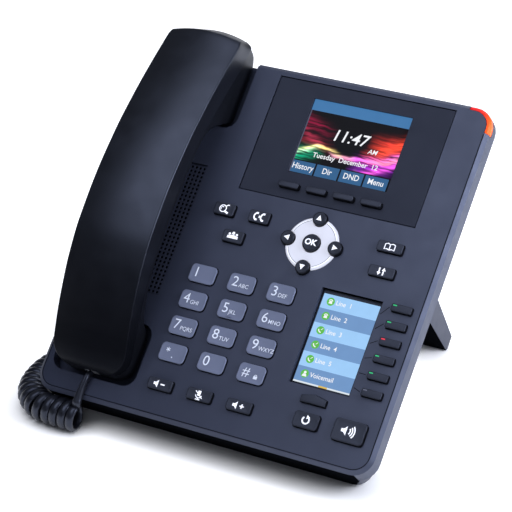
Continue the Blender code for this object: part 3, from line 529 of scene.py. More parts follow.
# ---- Cord: lead, coil and tail as one wire, in the row frame's millimetres ----
WIRE = 3.6
WIRE_WIDE = 4.4
TURN_WIDE = 5.05
WIRE_THIN = 2.9
COIL_OUTSIDE = 17.0
COIL_HEIGHT = 8.7
COIL_PITCH = 5.2
COIL_START = math.radians(100)
POINTS_PER_TURN = 16
WIRE_SIDES = 12
LEAD_ON_FACE = ((-65.0, -52.15, 0.9), (-65.05, -52.8, 1.05), (-65.2, -54.6, 2.4), (-65.4, -57.5, 2.8),
                (-65.9, -63.0, 2.5), (-66.4, -67.4, 1.7))
LEAD_DROP = (-69.9, -96.2, 18.2)
COIL_ROUTE = ((-70.6, -94.5), (-84.0, -94.3), (-95.2, -92.9), (-104.9, -85.6), (-110.8, -73.5),
              (-112.5, -57.5), (-108.5, -42.0), (-99.5, -27.0), (-90.5, -11.0), (-86.5, 9.0), (-86.0, 36.0),
              (-84.5, 62.0), (-79.5, 85.0), (-66.5, 104.0), (-43.0, 110.0))
TAIL_ROUTE = ((-38.5, 113.4, 14.8), (-32.5, 112.6, 14.2), (-28.0, 107.2, 18.4), (-30.5, 99.0, 28.0),
              (-42.0, 89.0, 46.0), (-57.0, 78.5, 66.0), (-70.5, 67.5, 84.0))
PLUG_RUN = (12.0, 0.3)


def lead_route():
    return [on_face(*point) for point in LEAD_ON_FACE] + [Vector(LEAD_DROP)]


def tail_route():
    """The tail's points, the last two straight into the plug."""
    a0, a1, b0, b1, c0, _ = face_box("cord_base_plug")
    into = [on_face((a0 + a1) / 2, (b0 + b1) / 2, c0 - back) for back in PLUG_RUN]
    return [Vector(point) for point in TAIL_ROUTE] + into


def helix():
    """The coil's turns round its own axis, with the way the axis runs at each point."""
    axis = curve_through([Vector((x, y, COIL_HEIGHT)) for x, y in COIL_ROUTE], 24)
    lengths = [0.0]
    for before, after in zip(axis, axis[1:]):
        lengths.append(lengths[-1] + (after - before).length)
    turns = round(lengths[-1] / COIL_PITCH)
    count = turns * POINTS_PER_TURN
    radius = (COIL_OUTSIDE - WIRE_THIN) / 2
    up = Vector((0, 0, 1))
    points, ways = [], []
    at = 0
    for i in range(count + 1):
        want = lengths[-1] * i / count
        while at < len(axis) - 2 and lengths[at + 1] < want:
            at += 1
        middle = axis[at].lerp(axis[at + 1], (want - lengths[at]) / (lengths[at + 1] - lengths[at]))
        way = (axis[at + 1] - axis[at]).normalized()
        side = way.cross(up).normalized()
        angle = COIL_START + math.tau * i / POINTS_PER_TURN
        points.append(middle + (side * math.cos(angle) + up * math.sin(angle)) * radius)
        ways.append(way)
    return points, ways


def wire_route():
    """The whole wire as (point, the way its flat section is wide, how wide it is)."""
    turns, axes = helix()
    lead = curve_through(lead_route() + turns[:2], 5)[:-6]
    tail = curve_through(turns[-2:] + tail_route(), 6)[7:]
    out_of_face = (FACE.to_3x3() @ Vector((0, 0, 1))).normalized()
    route = []
    for i, point in enumerate(lead):
        share = (i / len(lead)) ** 2
        route.append((point, out_of_face.lerp(axes[0], share), WIRE_WIDE + (TURN_WIDE - WIRE_WIDE) * share))
    route += [(point, axis, TURN_WIDE) for point, axis in zip(turns, axes)]
    return route + [(point, axes[-1], WIRE) for point in tail]


def make_cord():
    """The wire's skin, a flat oval section carried along its route."""
    route = wire_route()
    points = [point for point, _, _ in route]
    bm = bmesh.new()
    rows = []
    for i, (point, wide, width) in enumerate(route):
        along_wire = (points[min(i + 1, len(points) - 1)] - points[max(i - 1, 0)]).normalized()
        wide = (wide - along_wire * wide.dot(along_wire)).normalized()
        thin = along_wire.cross(wide)
        rows.append([bm.verts.new((point + wide * a * width / 2 + thin * b * WIRE_THIN / 2) * MM)
                     for a, b in circle(0.0, 0.0, 1.0, WIRE_SIDES)])
    for low, high in zip(rows, rows[1:]):
        for k in range(WIRE_SIDES):
            j = (k + 1) % WIRE_SIDES
            bm.faces.new((low[k], low[j], high[j], high[k]))
    bm.faces.new(rows[0][::-1])
    bm.faces.new(rows[-1])
    bmesh.ops.recalc_face_normals(bm, faces=bm.faces[:])
    mesh = bpy.data.meshes.new("curly_cord")
    bm.to_mesh(mesh)
    bm.free()
    mesh.materials.append(SHEATH)
    mesh.shade_smooth()
    obj = add_object("curly_cord", mesh)
    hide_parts("cord_coil", "cord_handset_lead", "cord_base_lead")
    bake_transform(obj)


# ---- Keys ----
DIAL_NAMES = tuple(f"key_{name}" for name in (*range(1, 10), "star", 0, "hash"))
LETTERS = ("", "ABC", "DEF", "GHI", "JKL", "MNO", "PQRS", "TUV", "WXYZ")
PRINT_LIFT = 0.025
STROKE_OVER = 0.004
COLLAR = 0.25
# How far in from the rim each ring of a key's dish lies, and its share of the dish's depth.
DISH_RINGS = ((0.35, 0.12), (1.0, 0.5), (1.9, 1.0))


def cap(node, outline, edge, top_finish, dish=0.0, collar=True):
    """A key: skirt painted black as the shade in its gap, rounded rim and a lacquered top that may dip.
    outline(inset) gives its plan.
    """
    c0, c1 = face_box(node)[4:]
    skirt = [(0.0, c0)] + ([(0.0, c1 - edge - COLLAR)] if collar else [])
    top = [(pull, c1 - edge + rise) for pull, rise in rounding(edge, 4)]
    top += [(edge + inward, c1 - dish * share) for inward, share in DISH_RINGS] if dish else []
    rings = [[(a, b, c) for a, b in outline(pull)] for pull, c in skirt + top]
    piece = Piece(top_finish, KEY_SIDE_SHADE).rings(rings, [1] * len(skirt) + [0] * len(top))
    made = piece.finish(node + "_cap", node, 40.0,
                        material_slot="dial_key" if node in DIAL_NAMES else "function_key")
    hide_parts(node)


def rect_cap(node, radius, edge, top_finish, dish=0.0):
    a0, a1, b0, b1, _, _ = face_box(node)

    def outline(pull):
        return rounded_rect(a0 + pull, a1 - pull, b0 + pull, b1 - pull, max(0.12, radius - pull * 0.8))

    cap(node, outline, edge, top_finish, dish)


def round_cap(node, edge, top_finish, dish):
    a0, a1, b0, b1, _, _ = face_box(node)

    def outline(pull):
        return circle((a0 + a1) / 2, (b0 + b1) / 2, max(0.3, (b1 - b0) / 2 - pull), 36)

    cap(node, outline, edge, top_finish, dish)


def peaked_cap(node, edge, top_finish):
    a0, a1, b0, b1, _, _ = face_box(node)
    shoulder = b1 - 1.6

    def outline(pull):
        return [(a1 - pull, b0 + pull), (a1 - pull, shoulder - pull * 0.8), ((a0 + a1) / 2, b1 - pull),
                (a0 + pull, shoulder - pull * 0.8), (a0 + pull, b0 + pull)]

    cap(node, outline, edge, top_finish, collar=False)


def legend(node, draw, finish=WHITE_PRINT_AND_HIGHLIGHT, grow=1.0):
    """Printing on a key's top: draw(piece) lays it out about the key's middle, then it grows."""
    a0, a1, b0, b1, _, c1 = face_box(node)
    piece = Piece(finish)
    draw(piece)
    place = Matrix.Translation(((a0 + a1) / 2, (b0 + b1) / 2, c1 + PRINT_LIFT))
    bmesh.ops.transform(piece.bm, matrix=place @ Matrix.Diagonal((grow, grow, 1.0, 1.0)), verts=piece.bm.verts[:])
    piece.finish(node + "_print", node, 0, recalc=False, material_slot="function_key")


def dial_mark(piece, name):
    """A dial key's character, left of its middle, and the letters, dot or padlock beside it."""
    if name == "star":
        for turn in (90, 210, 330):
            da, db = 1.25 * math.cos(math.radians(turn)), 1.25 * math.sin(math.radians(turn))
            piece.stroke([(-3.0 - da, 1.2 - db), (-3.0 + da, 1.2 + db)], 0.42)
        piece.disc(0.4, -2.6, 0.34)
    elif name == "hash":
        piece.text("#", 7.2, -3.0, 0.2)
        piece.box(1.9, 4.1, -2.5, -0.9, -0.05, 0.01)
        piece.arc(3.0, -0.9, 0.72, 0, 180, 0.34)
    elif name == "0":
        piece.text(name, 7.9, -3.3, 0.3, weight=0.02)
    else:
        piece.text(name, 7.9, -3.6, 0.3, weight=0.005)
        piece.text(LETTERS[int(name) - 1], 3.2, -1.2, -1.25, align="LEFT", weight=0.015, wide=0.95)


def make_dial_keys():
    for node in DIAL_NAMES:
        rect_cap(node, 2.4, 0.4, DIAL_KEY, 0.16)
        legend(node, lambda piece: dial_mark(piece, node[4:]), PRINT_GREY)
    a0, a1, b0, _, _, c1 = face_box("key_5")
    middle = (a0 + a1) / 2
    bar = Piece(DIAL_KEY).box(middle - 1.7, middle + 1.7, b0 + 0.7, b0 + 1.3, c1 - 0.1, c1 + 0.3, edge=0.2)
    bar.finish("key_5_bar", "key_5", material_slot="dial_key")


# ---- Pictograms, each about its key's middle ----

def handset_mark(piece, a, b, size, turn, c=0.0):
    """A small handset: an arc with two blunt ends."""
    piece.arc(a, b, size, turn - 62, turn + 62, size * 0.42, c)
    da, db = math.cos(math.radians(turn)) * size * 0.45, math.sin(math.radians(turn)) * size * 0.45
    for end in (-62, 62):
        angle = math.radians(turn + end)
        ea, eb = a + size * math.cos(angle), b + size * math.sin(angle)
        piece.stroke([(ea + da * 0.4, eb + db * 0.4), (ea - da, eb - db)], size * 0.5, c)


def cone_mark(piece, a, size):
    """A loudspeaker facing right."""
    right = [(a - size, -size * 0.35), (a - size * 0.45, -size * 0.35), (a + size * 0.2, -size)]
    piece.polygon(right + [(x, -y) for x, y in right[::-1]])


def transfer_mark(piece):
    """A handset in a ring with a tail leading away."""
    piece.arc(-0.7, 0.1, 1.75, 0, 360, 0.55)
    handset_mark(piece, -0.9, 0.1, 0.85, 140, STROKE_OVER)
    piece.stroke([(0.5, 1.2), (1.3, 2.1), (2.2, 2.2)], 0.6)
    piece.stroke([(0.5, -1.1), (2.6, -2.0)], 1.0)


def hold_mark(piece):
    """Two handsets one behind the other with an arrow between."""
    handset_mark(piece, -0.6, 0.0, 1.9, 180)
    handset_mark(piece, 2.9, 0.0, 1.9, 180)
    piece.polygon([(1.0, 0.0), (-0.1, 0.75), (-0.1, -0.75)])


def volume_down_mark(piece):
    cone_mark(piece, -1.3, 1.9)
    piece.stroke([(0.5, 0.0), (2.7, 0.0)], 0.65)


def volume_up_mark(piece):
    volume_down_mark(piece)
    piece.stroke([(1.6, -1.1), (1.6, 1.1)], 0.65, STROKE_OVER)


def redial_mark(piece):
    """An open ring ending in an arrow head."""
    piece.arc(0.0, 0.0, 1.65, 60, -230, 0.75, steps=20)
    piece.polygon([(0.1, 2.6), (0.1, 0.6), (1.7, 1.6)])


def speaker_mark(piece):
    cone_mark(piece, -1.5, 2.2)
    for reach in (2.0, 3.1, 4.2):
        piece.arc(-1.2, 0.0, reach, -40, 40, 0.6)


def people_mark(piece):
    for a, b, size in ((-1.9, 0.0, 1.0), (1.9, 0.0, 1.0), (0.0, 0.3, 1.25)):
        piece.disc(a, b + size * 0.95, size * 0.62)
        piece.taper(a, b - size * 1.2, b + size * 0.2, size, size * 0.85)


def book_mark(piece):
    page = ((0.0, -1.5), (1.3, -1.1), (2.5, -1.5), (2.5, 1.2), (1.3, 1.6), (0.0, 1.2), (0.0, -1.5))
    for side in (-1, 1):
        piece.stroke([(side * a, b) for a, b in page], 0.5)


def swap_mark(piece):
    """One arrow up and one down."""
    for side in (-1, 1):
        a = side * 1.1
        piece.stroke([(a, -side * 1.8), (a, side * 0.6)], 0.7)
        piece.polygon([(a - 1.0, side * 0.4), (a + 1.0, side * 0.4), (a, side * 2.0)])


def mute_mark(piece):
    """A microphone on its stand, struck through."""
    piece.stroke([(0.0, -0.5), (0.0, 2.0)], 1.6)
    piece.arc(0.0, 0.1, 1.6, 190, 350, 0.45)
    piece.stroke([(0.0, -1.4), (0.0, -2.3)], 0.5)
    piece.stroke([(-1.2, -2.3), (1.2, -2.3)], 0.5)
    piece.stroke([(-2.1, 1.7), (2.1, -1.5)], 0.45, STROKE_OVER)


# Each function key's corner radius and pictogram.
FUNCTION_KEYS = {
    "transfer_key": (1.0, transfer_mark), "hold_key": (1.0, hold_mark), "conference_key": (1.0, people_mark),
    "phonebook_key": (1.0, book_mark), "swap_key": (1.0, swap_mark), "volume_down_key": (1.0, volume_down_mark),
    "mute_key": (1.0, mute_mark), "volume_up_key": (1.0, volume_up_mark), "redial_key": (1.5, redial_mark),
    "speaker_key": (1.9, speaker_mark),
}
MARK_GROW = 1.12
ARROW_TURNS = {"nav_right": 0, "nav_up": 90, "nav_left": 180, "nav_down": 270}


def make_function_keys():
    for node, (radius, mark) in FUNCTION_KEYS.items():
        rect_cap(node, radius, 0.4, DARK_KEY, 0.1)
        legend(node, mark, grow=MARK_GROW)
    for number in range(1, 5):
        rect_cap(f"softkey_{number}", 0.9, 0.45, DARK_KEY)
    for number in range(1, 7):
        rect_cap(f"line_key_{number}", 0.7, 0.4, DARK_KEY)
    peaked_cap("page_key", 0.4, DARK_KEY)
    for node, turn in ARROW_TURNS.items():
        round_cap(node, 0.6, ARROW_KEY, 0.15)
        corners = [math.radians(turn + corner) for corner in (0, 125, 235)]
        legend(node, lambda piece: piece.polygon([(1.9 * math.cos(t), 1.9 * math.sin(t)) for t in corners]))
    round_cap("ok_key", 0.7, ARROW_KEY, 0.2)
    legend("ok_key", lambda piece: piece.text("OK", 4.5, 0.0, 0.0, weight=0.16))


def make_line_lamps():
    """The small lamp set into the upper left of each line key, lit green or red, with the last one off."""
    green = lit("lamp_green", rgb(50, 190, 120), 1.1)
    red = lit("lamp_red", rgb(240, 60, 80), 1.1)
    off = moulded("lamp_off", rgb(96, 98, 110), 0.35)
    for number, finish in enumerate((green, green, red, green, green, off), 1):
        node = f"line_key_{number}"
        a0, _, _, b1, _, c1 = face_box(node)
        piece = Piece(finish).box(a0 + 0.8, a0 + 3.0, b1 - 1.35, b1 - 0.65, c1 - 0.2, c1 + 0.07, edge=0.15)
        piece.finish(f"{node}_lamp", node, material_slot="function_key")


def make_leader_lines():
    """The thin printed lines from the side display's rows to their keys."""
    _, right, low, high, _, _ = face_box("side_display")
    piece = Piece(PRINT_AND_SHADE_LINE)
    for number in range(1, 7):
        a0, _, b0, b1, _, _ = face_box(f"line_key_{number}")
        row = high - 2.5 - (high - low - 3.6) * (number - 0.5) / 6
        piece.stroke([(right + 0.9, row), (a0 - 1.5, (b0 + b1) / 2)], 0.36, PRINT_LIFT)
    piece.finish("leader_lines", "base", 0, recalc=False, material_slot="housing")


# ---- Handset: its edge, seam and underside heights along b, as fine lofts over the CAD shells ----
TOP_EDGE = ((-52.0, 5.4), (-50.5, 8.2), (-46.0, 11.4), (-38.0, 15.6), (-28.0, 20.6), (-16.0, 25.6),
            (0.0, 31.0), (20.0, 34.9), (45.0, 36.1), (72.0, 34.4), (98.0, 30.1), (120.0, 25.0),
            (137.5, 20.2), (142.4, 18.9), (143.1, 18.1), (145.6, 13.0), (148.6, 7.0))
SEAM_EDGE = ((-52.0, 4.1), (-43.0, 5.2), (-33.0, 9.0), (-20.0, 13.8), (-5.0, 18.4), (15.0, 22.6), (45.0, 24.5),
             (75.0, 22.8), (105.0, 16.4), (130.0, 9.0), (141.0, 6.5), (148.6, 5.4))
UNDERSIDE = ((-51.6, -3.0), (-49.0, -6.6), (-46.0, -7.9), (-27.0, -7.9), (-22.5, -1.5), (-18.0, 6.0),
             (-9.0, 11.2), (1.0, 15.6), (18.0, 18.9), (45.0, 20.5), (70.0, 20.0), (84.0, 18.2), (92.0, 13.0),
             (98.5, 4.0), (102.5, -3.5), (106.5, -7.9), (138.0, -7.9), (143.0, -5.2), (146.4, -0.6), (148.2, 2.0))
HANDSET_A = -65.0
HANDSET_HALF = 22.5
MOUTH_TIP = -52.0
EAR_TIP = 148.6
CROWN = 2.4
# Each outline in plan: the mouth end's corner radius, where the ear end narrows from, and its half width at the tip.
TOP_PLAN = (11.0, 138.0, 17.0)
SIDE_PLAN = (11.0, 144.5, 18.0)
INNER_PLAN = (10.0, 144.0, 18.0)
GAP_PLAN = (10.5, 144.0, 18.0)
BOW = 1.8
BOW_FROM, BOW_LONG = 110.0, 30.0
EAR_CREASE = [142.0, 142.4, 142.75, 143.1, 143.5]


def slopes_of(profile):
    """Slopes that carry a curve through the profile with no overshoot."""
    steps = [(q[1] - p[1]) / (q[0] - p[0]) for p, q in zip(profile, profile[1:])]
    slopes = [steps[0]]
    for before, after in zip(steps, steps[1:]):
        slopes.append(0.0 if before * after <= 0 else 2 * before * after / (before + after))
    return slopes + [steps[-1]]


def along(profile, b):
    """The profile's height at b, on a smooth curve through its points."""
    slopes = slopes_of(profile)
    for i, ((b0, c0), (b1, c1)) in enumerate(zip(profile, profile[1:])):
        if b <= b1:
            wide = b1 - b0
            t = max(0.0, b - b0) / wide
            return (c0 * (1 + 2 * t) * (1 - t) ** 2 + slopes[i] * wide * t * (1 - t) ** 2
                    + c1 * t * t * (3 - 2 * t) + slopes[i + 1] * wide * t * t * (t - 1))
    return profile[-1][1]


def half_width(b, mouth_r, ear_start, ear_half):
    """Half the handset's width at b, rounded in plan at both ends."""
    into = b - MOUTH_TIP
    if into < mouth_r:
        return HANDSET_HALF - mouth_r + math.sqrt(mouth_r ** 2 - (mouth_r - max(into, 0.1)) ** 2)
    if b > ear_start:
        part = (b - ear_start) / (EAR_TIP - ear_start)
        return HANDSET_HALF - (HANDSET_HALF - ear_half) * part ** 2
    return HANDSET_HALF


def bow(b):
    """How far the crown's middle reaches past its sides towards the ear end."""
    return BOW * min(1.0, max(0.0, (b - BOW_FROM) / BOW_LONG)) ** 2


def stations(inset, count, tips=10):
    """Places along b, gathered towards both ends and at the ear end's crease."""
    start, end = MOUTH_TIP + inset, EAR_TIP - inset
    even = [start + (end - start) * i / count for i in range(1, count)]
    fine = [place for i in range(tips) for place in (start + 11.0 * (i / tips) ** 2, end - 9.0 * (i / tips) ** 2)]
    return sorted(set(round(b, 3) for b in even + fine + EAR_CREASE))


def section(right, middle):
    """A closed section from its right side's points, its middle's, and the right side's mirrored."""
    return right + middle + [(-a, c) for a, c in right[::-1]]


def back_ring(b):
    """One section of the outer shell: seam, side wall, softened edge, crown."""
    top_half, low_half = half_width(b, *TOP_PLAN), half_width(b, *SIDE_PLAN)
    low = along(SEAM_EDGE, b)
    top = max(along(TOP_EDGE, b), low + 0.9)
    soft = min(0.8, (top - low) * 0.4)
    right = [(low_half, low), (low_half, low + 0.25)]
    for t in (0.25, 0.5, 0.75):
        right.append((low_half + (top_half - low_half) * t, low + (top - soft - low) * t))
    right += [(top_half - pull, top - soft + rise * 1.08) for pull, rise in rounding(soft, 5)]
    shares = [1 - step / 7 for step in range(1, 14)]
    crown = [((top_half - soft) * s, top + 0.08 * soft + CROWN * (1 - s * s)) for s in shares]
    ring = []
    for a, c in section(right, crown):
        forward = bow(b) * (1 - min(1.0, abs(a) / top_half) ** 2) * min(1.0, (c - low) / (top - low))
        ring.append((HANDSET_A + a, b + forward, c))
    return ring


def front_ring(b):
    """One section of the inner shell: seam, side wall and the rounded underside of the handle and cups."""
    half = half_width(b, *INNER_PLAN) - 0.3
    low = along(UNDERSIDE, b)
    top = max(along(SEAM_EDGE, b) - 0.3, low + 1.2)
    taper = 1.8 if low < 3.0 else 0.9
    edge = min(2.6, (top - low) * 0.42)
    foot = half - taper * 0.5
    right = [(half, top), (half - 0.06, top - 0.25), (half - taper * 0.25, (top + low + edge) / 2)]
    right += [(foot - pull, low + edge - rise) for pull, rise in rounding(edge, 5)]
    middle = [((foot - edge) * s, low) for s in (0.6, 0.2, -0.2, -0.6)]
    return [(HANDSET_A + a, b, c) for a, c in section(right, middle)][::-1]


def seam_ring(b):
    """The dark shadow gap between the two shells, a little inside their sides."""
    half = half_width(b, *GAP_PLAN) - 0.75
    low = along(SEAM_EDGE, b)
    right = [(half, low - 0.6), (half, low + 0.3)]
    return [(HANDSET_A + a, b, c) for a, c in section(right, [])]


def make_handset():
    made = Piece(HANDSET).rings([back_ring(b) for b in stations(0.0, 66)]) \
        .finish("handset_back", "handset", 50.0, material_slot="handset")
    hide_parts("handset_outer_shell")
    made = Piece(HANDSET_INNER).rings([front_ring(b) for b in stations(0.4, 70)]) \
        .finish("handset_front", "handset", 50.0, material_slot="handset_inner")
    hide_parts("handset_inner_shell")
    Piece(BLACK).rings([seam_ring(b) for b in stations(0.6, 50)]) \
        .finish("handset_seam", "handset", 30.0, material_slot="handset_inner")


# ---- Displays ----
# Each streak's height, slope, bend and middle, its width, its two ends and how softly they fade; then its colour.
STREAKS = (
    ((0.86, -0.5, 0.3, 0.1, 0.10, -0.2, 0.42, 0.25), (0.20, 0.004, 0.03)),
    ((0.70, -0.9, 0.5, 0.1, 0.06, -0.2, 0.40, 0.20), (0.30, 0.02, 0.05)),
    ((0.60, -0.1, -1.4, 0.2, 0.05, -0.1, 0.45, 0.2), (0.18, 0.01, 0.02)),
    ((0.36, 0.5, -0.8, 0.1, 0.10, -0.3, 0.36, 0.22), (0.0, 0.32, 0.16)),
    ((0.24, -0.9, 1.0, 0.0, 0.09, -0.3, 0.32, 0.2), (0.0, 0.30, 0.15)),
    ((0.30, 1.1, -1.0, 0.0, 0.035, -0.1, 0.30, 0.1), (0.45, 0.75, 0.45)),
    ((0.52, 0.30, -2.2, 0.24, 0.026, 0.05, 0.55, 0.12), (1.0, 0.80, 0.25)),
    ((0.44, -0.35, 1.6, 0.48, 0.03, 0.36, 0.66, 0.08), (0.9, 0.35, 0.5)),
    ((0.44, 0.35, 0.2, 0.7, 0.035, 0.52, 1.2, 0.14), (0.85, 0.12, 0.75)),
    ((0.34, 0.25, 0.6, 0.72, 0.12, 0.58, 1.2, 0.18), (0.20, 0.01, 0.42)),
    ((0.30, 0.9, 0.0, 0.85, 0.05, 0.62, 1.2, 0.12), (0.65, 0.08, 0.40)),
    ((0.58, 0.8, 1.0, 0.88, 0.12, 0.66, 1.4, 0.2), (0.75, 0.06, 0.02)),
    ((0.76, 0.2, 0.5, 0.95, 0.10, 0.72, 1.4, 0.2), (0.55, 0.03, 0.02)),
    ((0.50, 0.4, 0.6, 0.92, 0.04, 0.70, 1.4, 0.18), (1.0, 0.30, 0.12)),
    ((0.10, -0.5, 1.2, 0.86, 0.05, 0.66, 1.3, 0.16), (0.60, 0.38, 0.03)),
    ((0.03, 0.2, 1.0, 0.90, 0.05, 0.70, 1.3, 0.16), (0.35, 0.30, 0.02)),
)
WARP = (0.12, 0.12, 0.0)


def streak(tree, axes, height, slope, bend, middle, width, low, high, soft):
    """A streak's brightness about y = height + slope (x - middle) + bend (x - middle)^2, between low and high."""
    def calc(kind, *values):
        return math_node(tree, kind, *values)

    x, y = axes["X"], axes["Y"]
    off = calc("SUBTRACT", x, middle)
    curve = calc("MULTIPLY", calc("MULTIPLY", off, off), bend)
    line = calc("ADD", calc("ADD", calc("MULTIPLY", off, slope), curve), height)
    gap = calc("DIVIDE", calc("SUBTRACT", y, line), width)
    glow = calc("EXPONENT", calc("MULTIPLY", calc("MULTIPLY", gap, gap), -1.0))
    for edge, way in ((low, 1.0), (high, -1.0)):
        fade = tree.nodes.new("ShaderNodeClamp")
        tree.links.new(calc("MULTIPLY", calc("SUBTRACT", x, edge), way / soft), fade.inputs["Value"])
        glow = calc("MULTIPLY", glow, fade.outputs[0])
    return glow


def screen_wallpaper():
    """Dark wallpaper with soft coloured streaks of fine filaments, in the panel's own 0 to 1 coordinates."""
    mat, tree = blank_material("wallpaper", {**DARK_GLASS, "Emission Strength": 1.0})
    place = coordinates(tree, "UV")
    warp = noise(tree, 5.0, vector=place).node.outputs["Color"]
    bent = vector_node(tree, "MULTIPLY_ADD", warp, WARP, place)
    stretch = tree.nodes.new("ShaderNodeMapping")
    stretch.inputs["Rotation"].default_value = (0.0, 0.0, -0.45)
    stretch.inputs["Scale"].default_value = (2.5, 26.0, 1.0)
    tree.links.new(bent, stretch.inputs["Vector"])
    filaments = ranged(tree, noise(tree, 1.0, 4.0, stretch.outputs["Vector"]), 0.38, 0.66, 0.12, 1.9)
    axes = split_axes(tree, bent)
    glows = [vector_node(tree, "SCALE", colour, scale=streak(tree, axes, *shape)) for shape, colour in STREAKS]
    total = glows[0]
    for glow in glows[1:]:
        total = vector_node(tree, "ADD", total, glow)
    tree.links.new(vector_node(tree, "SCALE", total, scale=filaments), shader_of(tree).inputs["Emission Color"])
    return mat


def with_uv(obj):
    """Maps a flat piece's own box to 0 to 1."""
    mesh = obj.data
    layer = mesh.uv_layers.new(name="UVMap")
    low = [min(v.co[i] for v in mesh.vertices) for i in (0, 1)]
    high = [max(v.co[i] for v in mesh.vertices) for i in (0, 1)]
    for loop in mesh.loops:
        co = mesh.vertices[loop.vertex_index].co
        layer.data[loop.index].uv = [(co[i] - low[i]) / (high[i] - low[i]) for i in (0, 1)]


SCREEN_LIFT = 0.05
WORDS_LIFT = 0.09
MAIN_SIZE = (57.6, 43.2)
MAIN_BLEED = 0.4
MAIN_SHIFT = 0.35
SCREEN_RAISE = 0.5
BAR_SHARE = 0.165
SOFT_BAR = 6.6
SOFT_NAMES = ("History", "Dir", "DND", "Menu")


def make_main_screen():
    """The wallpaper with a bar above it, the time and date on it, and four soft-key names below."""
    a0, a1, b0, b1, _, c1 = face_box("main_display")
    middle = (a0 + a1) / 2
    left, right = middle - MAIN_SIZE[0] / 2, middle + MAIN_SIZE[0] / 2
    low = (b0 + b1) / 2 - MAIN_SIZE[1] / 2 + MAIN_SHIFT
    high = low + MAIN_SIZE[1] + SCREEN_RAISE
    bar = high - MAIN_SIZE[1] * BAR_SHARE
    c = c1 + SCREEN_LIFT
    words = c1 + WORDS_LIFT
    across = (left - MAIN_BLEED, right + MAIN_BLEED)
    piece = Piece(screen_wallpaper()).panel(*across, low - MAIN_BLEED, bar, c)
    with_uv(piece.finish("main_screen_wallpaper", "base", 0, material_slot="screen"))

    piece = Piece(lit("screen_top_bar", rgb(66, 120, 172)), lit("screen_soft_bar", rgb(52, 98, 142)), SCREEN_WHITE,
                  lit("screen_black", rgb(4, 5, 8), 0.5), lit("screen_frame", rgb(82, 84, 104)))
    piece.panel(*across, bar, high + MAIN_BLEED, c)
    soft_top = low + SOFT_BAR
    width = MAIN_SIZE[0] / len(SOFT_NAMES)
    piece.panel(*across, low - MAIN_BLEED, soft_top + 0.5, c + 0.01, 3)
    for index, name in enumerate(SOFT_NAMES):
        start = left + width * index
        piece.panel(start, start + width - 1.0, low - 0.3, soft_top, c + 0.02, 1)
        piece.text(name, 4.6, start + width / 2 - 0.5, (low + soft_top) / 2 + 0.1, words, 2, weight=0.05, wide=0.9)
    piece.text("11:47", 9.4, middle - 1.8, low + 24.6, words, 2, lean=0.16, weight=0.07, wide=1.02)
    piece.text("AM", 3.7, middle + 13.4, low + 19.6, words, 2, lean=0.2, weight=0.04)
    piece.text("Tuesday  December  12", 3.95, middle + 0.2, low + 11.4, words, 2, weight=0.06)
    piece.stroke([(left - 0.1, low - MAIN_BLEED), (left - 0.1, bar)], 0.7, c + 0.03, 4)
    piece.finish("main_screen_layout", "base", 0, material_slot="screen")


# How far the side display's frame covers its top, its sides and its bottom.
SIDE_MASK = (2.0, 1.0, 1.1)
SIDE_FOOT = 0.9
ROW_NAMES = ("Line  1", "Line  2", "Line  3", "Line  4", "Line  5", "Voicemail")


def row_mark(piece, a, b, c, index):
    """The white mark in a row's green disc: a desk phone, a handset or a head and shoulders."""
    if index < 2:
        piece.arc(a, b, 1.1, 20, 160, 0.5, c, 3)
        piece.taper(a, b - 1.1, b + 0.4, 1.1, 0.7, c, 3)
    elif index < 5:
        piece.arc(a + 0.5, b + 0.5, 1.6, 180, 270, 0.6, c, 3)
        piece.stroke([(a + 0.2, b + 0.3), (a + 1.2, b + 1.3)], 0.35, c, 3)
    else:
        piece.disc(a, b + 0.7, 0.75, c, 3)
        piece.taper(a, b - 1.5, b - 0.1, 1.4, 0.8, c, 3)


def make_side_screen():
    """Six rows in two blues, each with a green mark and a name, over a pale strip."""
    a0, a1, b0, b1, _, c1 = face_box("side_display")
    top_mask, side_mask, bottom_mask = SIDE_MASK
    left, right, low, high = a0 + side_mask, a1 - side_mask, b0 + bottom_mask, b1 - top_mask
    piece = Piece(lit("row_light", rgb(160, 206, 250)), lit("row_dark", rgb(114, 152, 200)),
                  lit("row_green", rgb(98, 190, 78)), SCREEN_WHITE, lit("row_edge", rgb(222, 232, 240)),
                  lit("row_mark", rgb(226, 190, 90)))
    c = c1 + SCREEN_LIFT
    words = c1 + WORDS_LIFT
    bottom = low + SIDE_FOOT
    pitch = (high - bottom) / len(ROW_NAMES)
    piece.panel(left, right, low, bottom, c, 4)
    piece.panel(left + 14.5, left + 19.5, low, bottom, c + 0.02, 5)
    for index, name in enumerate(ROW_NAMES):
        b = high - pitch * (index + 1)
        middle = b + pitch * 0.53
        piece.panel(left, right, b, b + pitch, c, index % 2)
        piece.disc(left + 5.0, middle, 2.25, c + 0.02, 2)
        piece.text(name, 3.6, left + 8.0, middle, words, 3, align="LEFT", weight=0.03, wide=0.95)
        row_mark(piece, left + 5.0, middle, words, index)
    piece.finish("side_screen_rows", "base", 0, material_slot="side_screen")
    dress("side_display", BLACK)


# ---- Speaker panel, rim and back ----
GRILLE_RIGHT = -44.85
GRILLE_LOW = -1.45
GRILLE_COLUMNS, GRILLE_ROWS = 16, 31
GRILLE_PITCH = 2.45
GRILLE_THICK = 0.5
HOLE_RADIUS = 0.88
HOLE_SIDES = 8


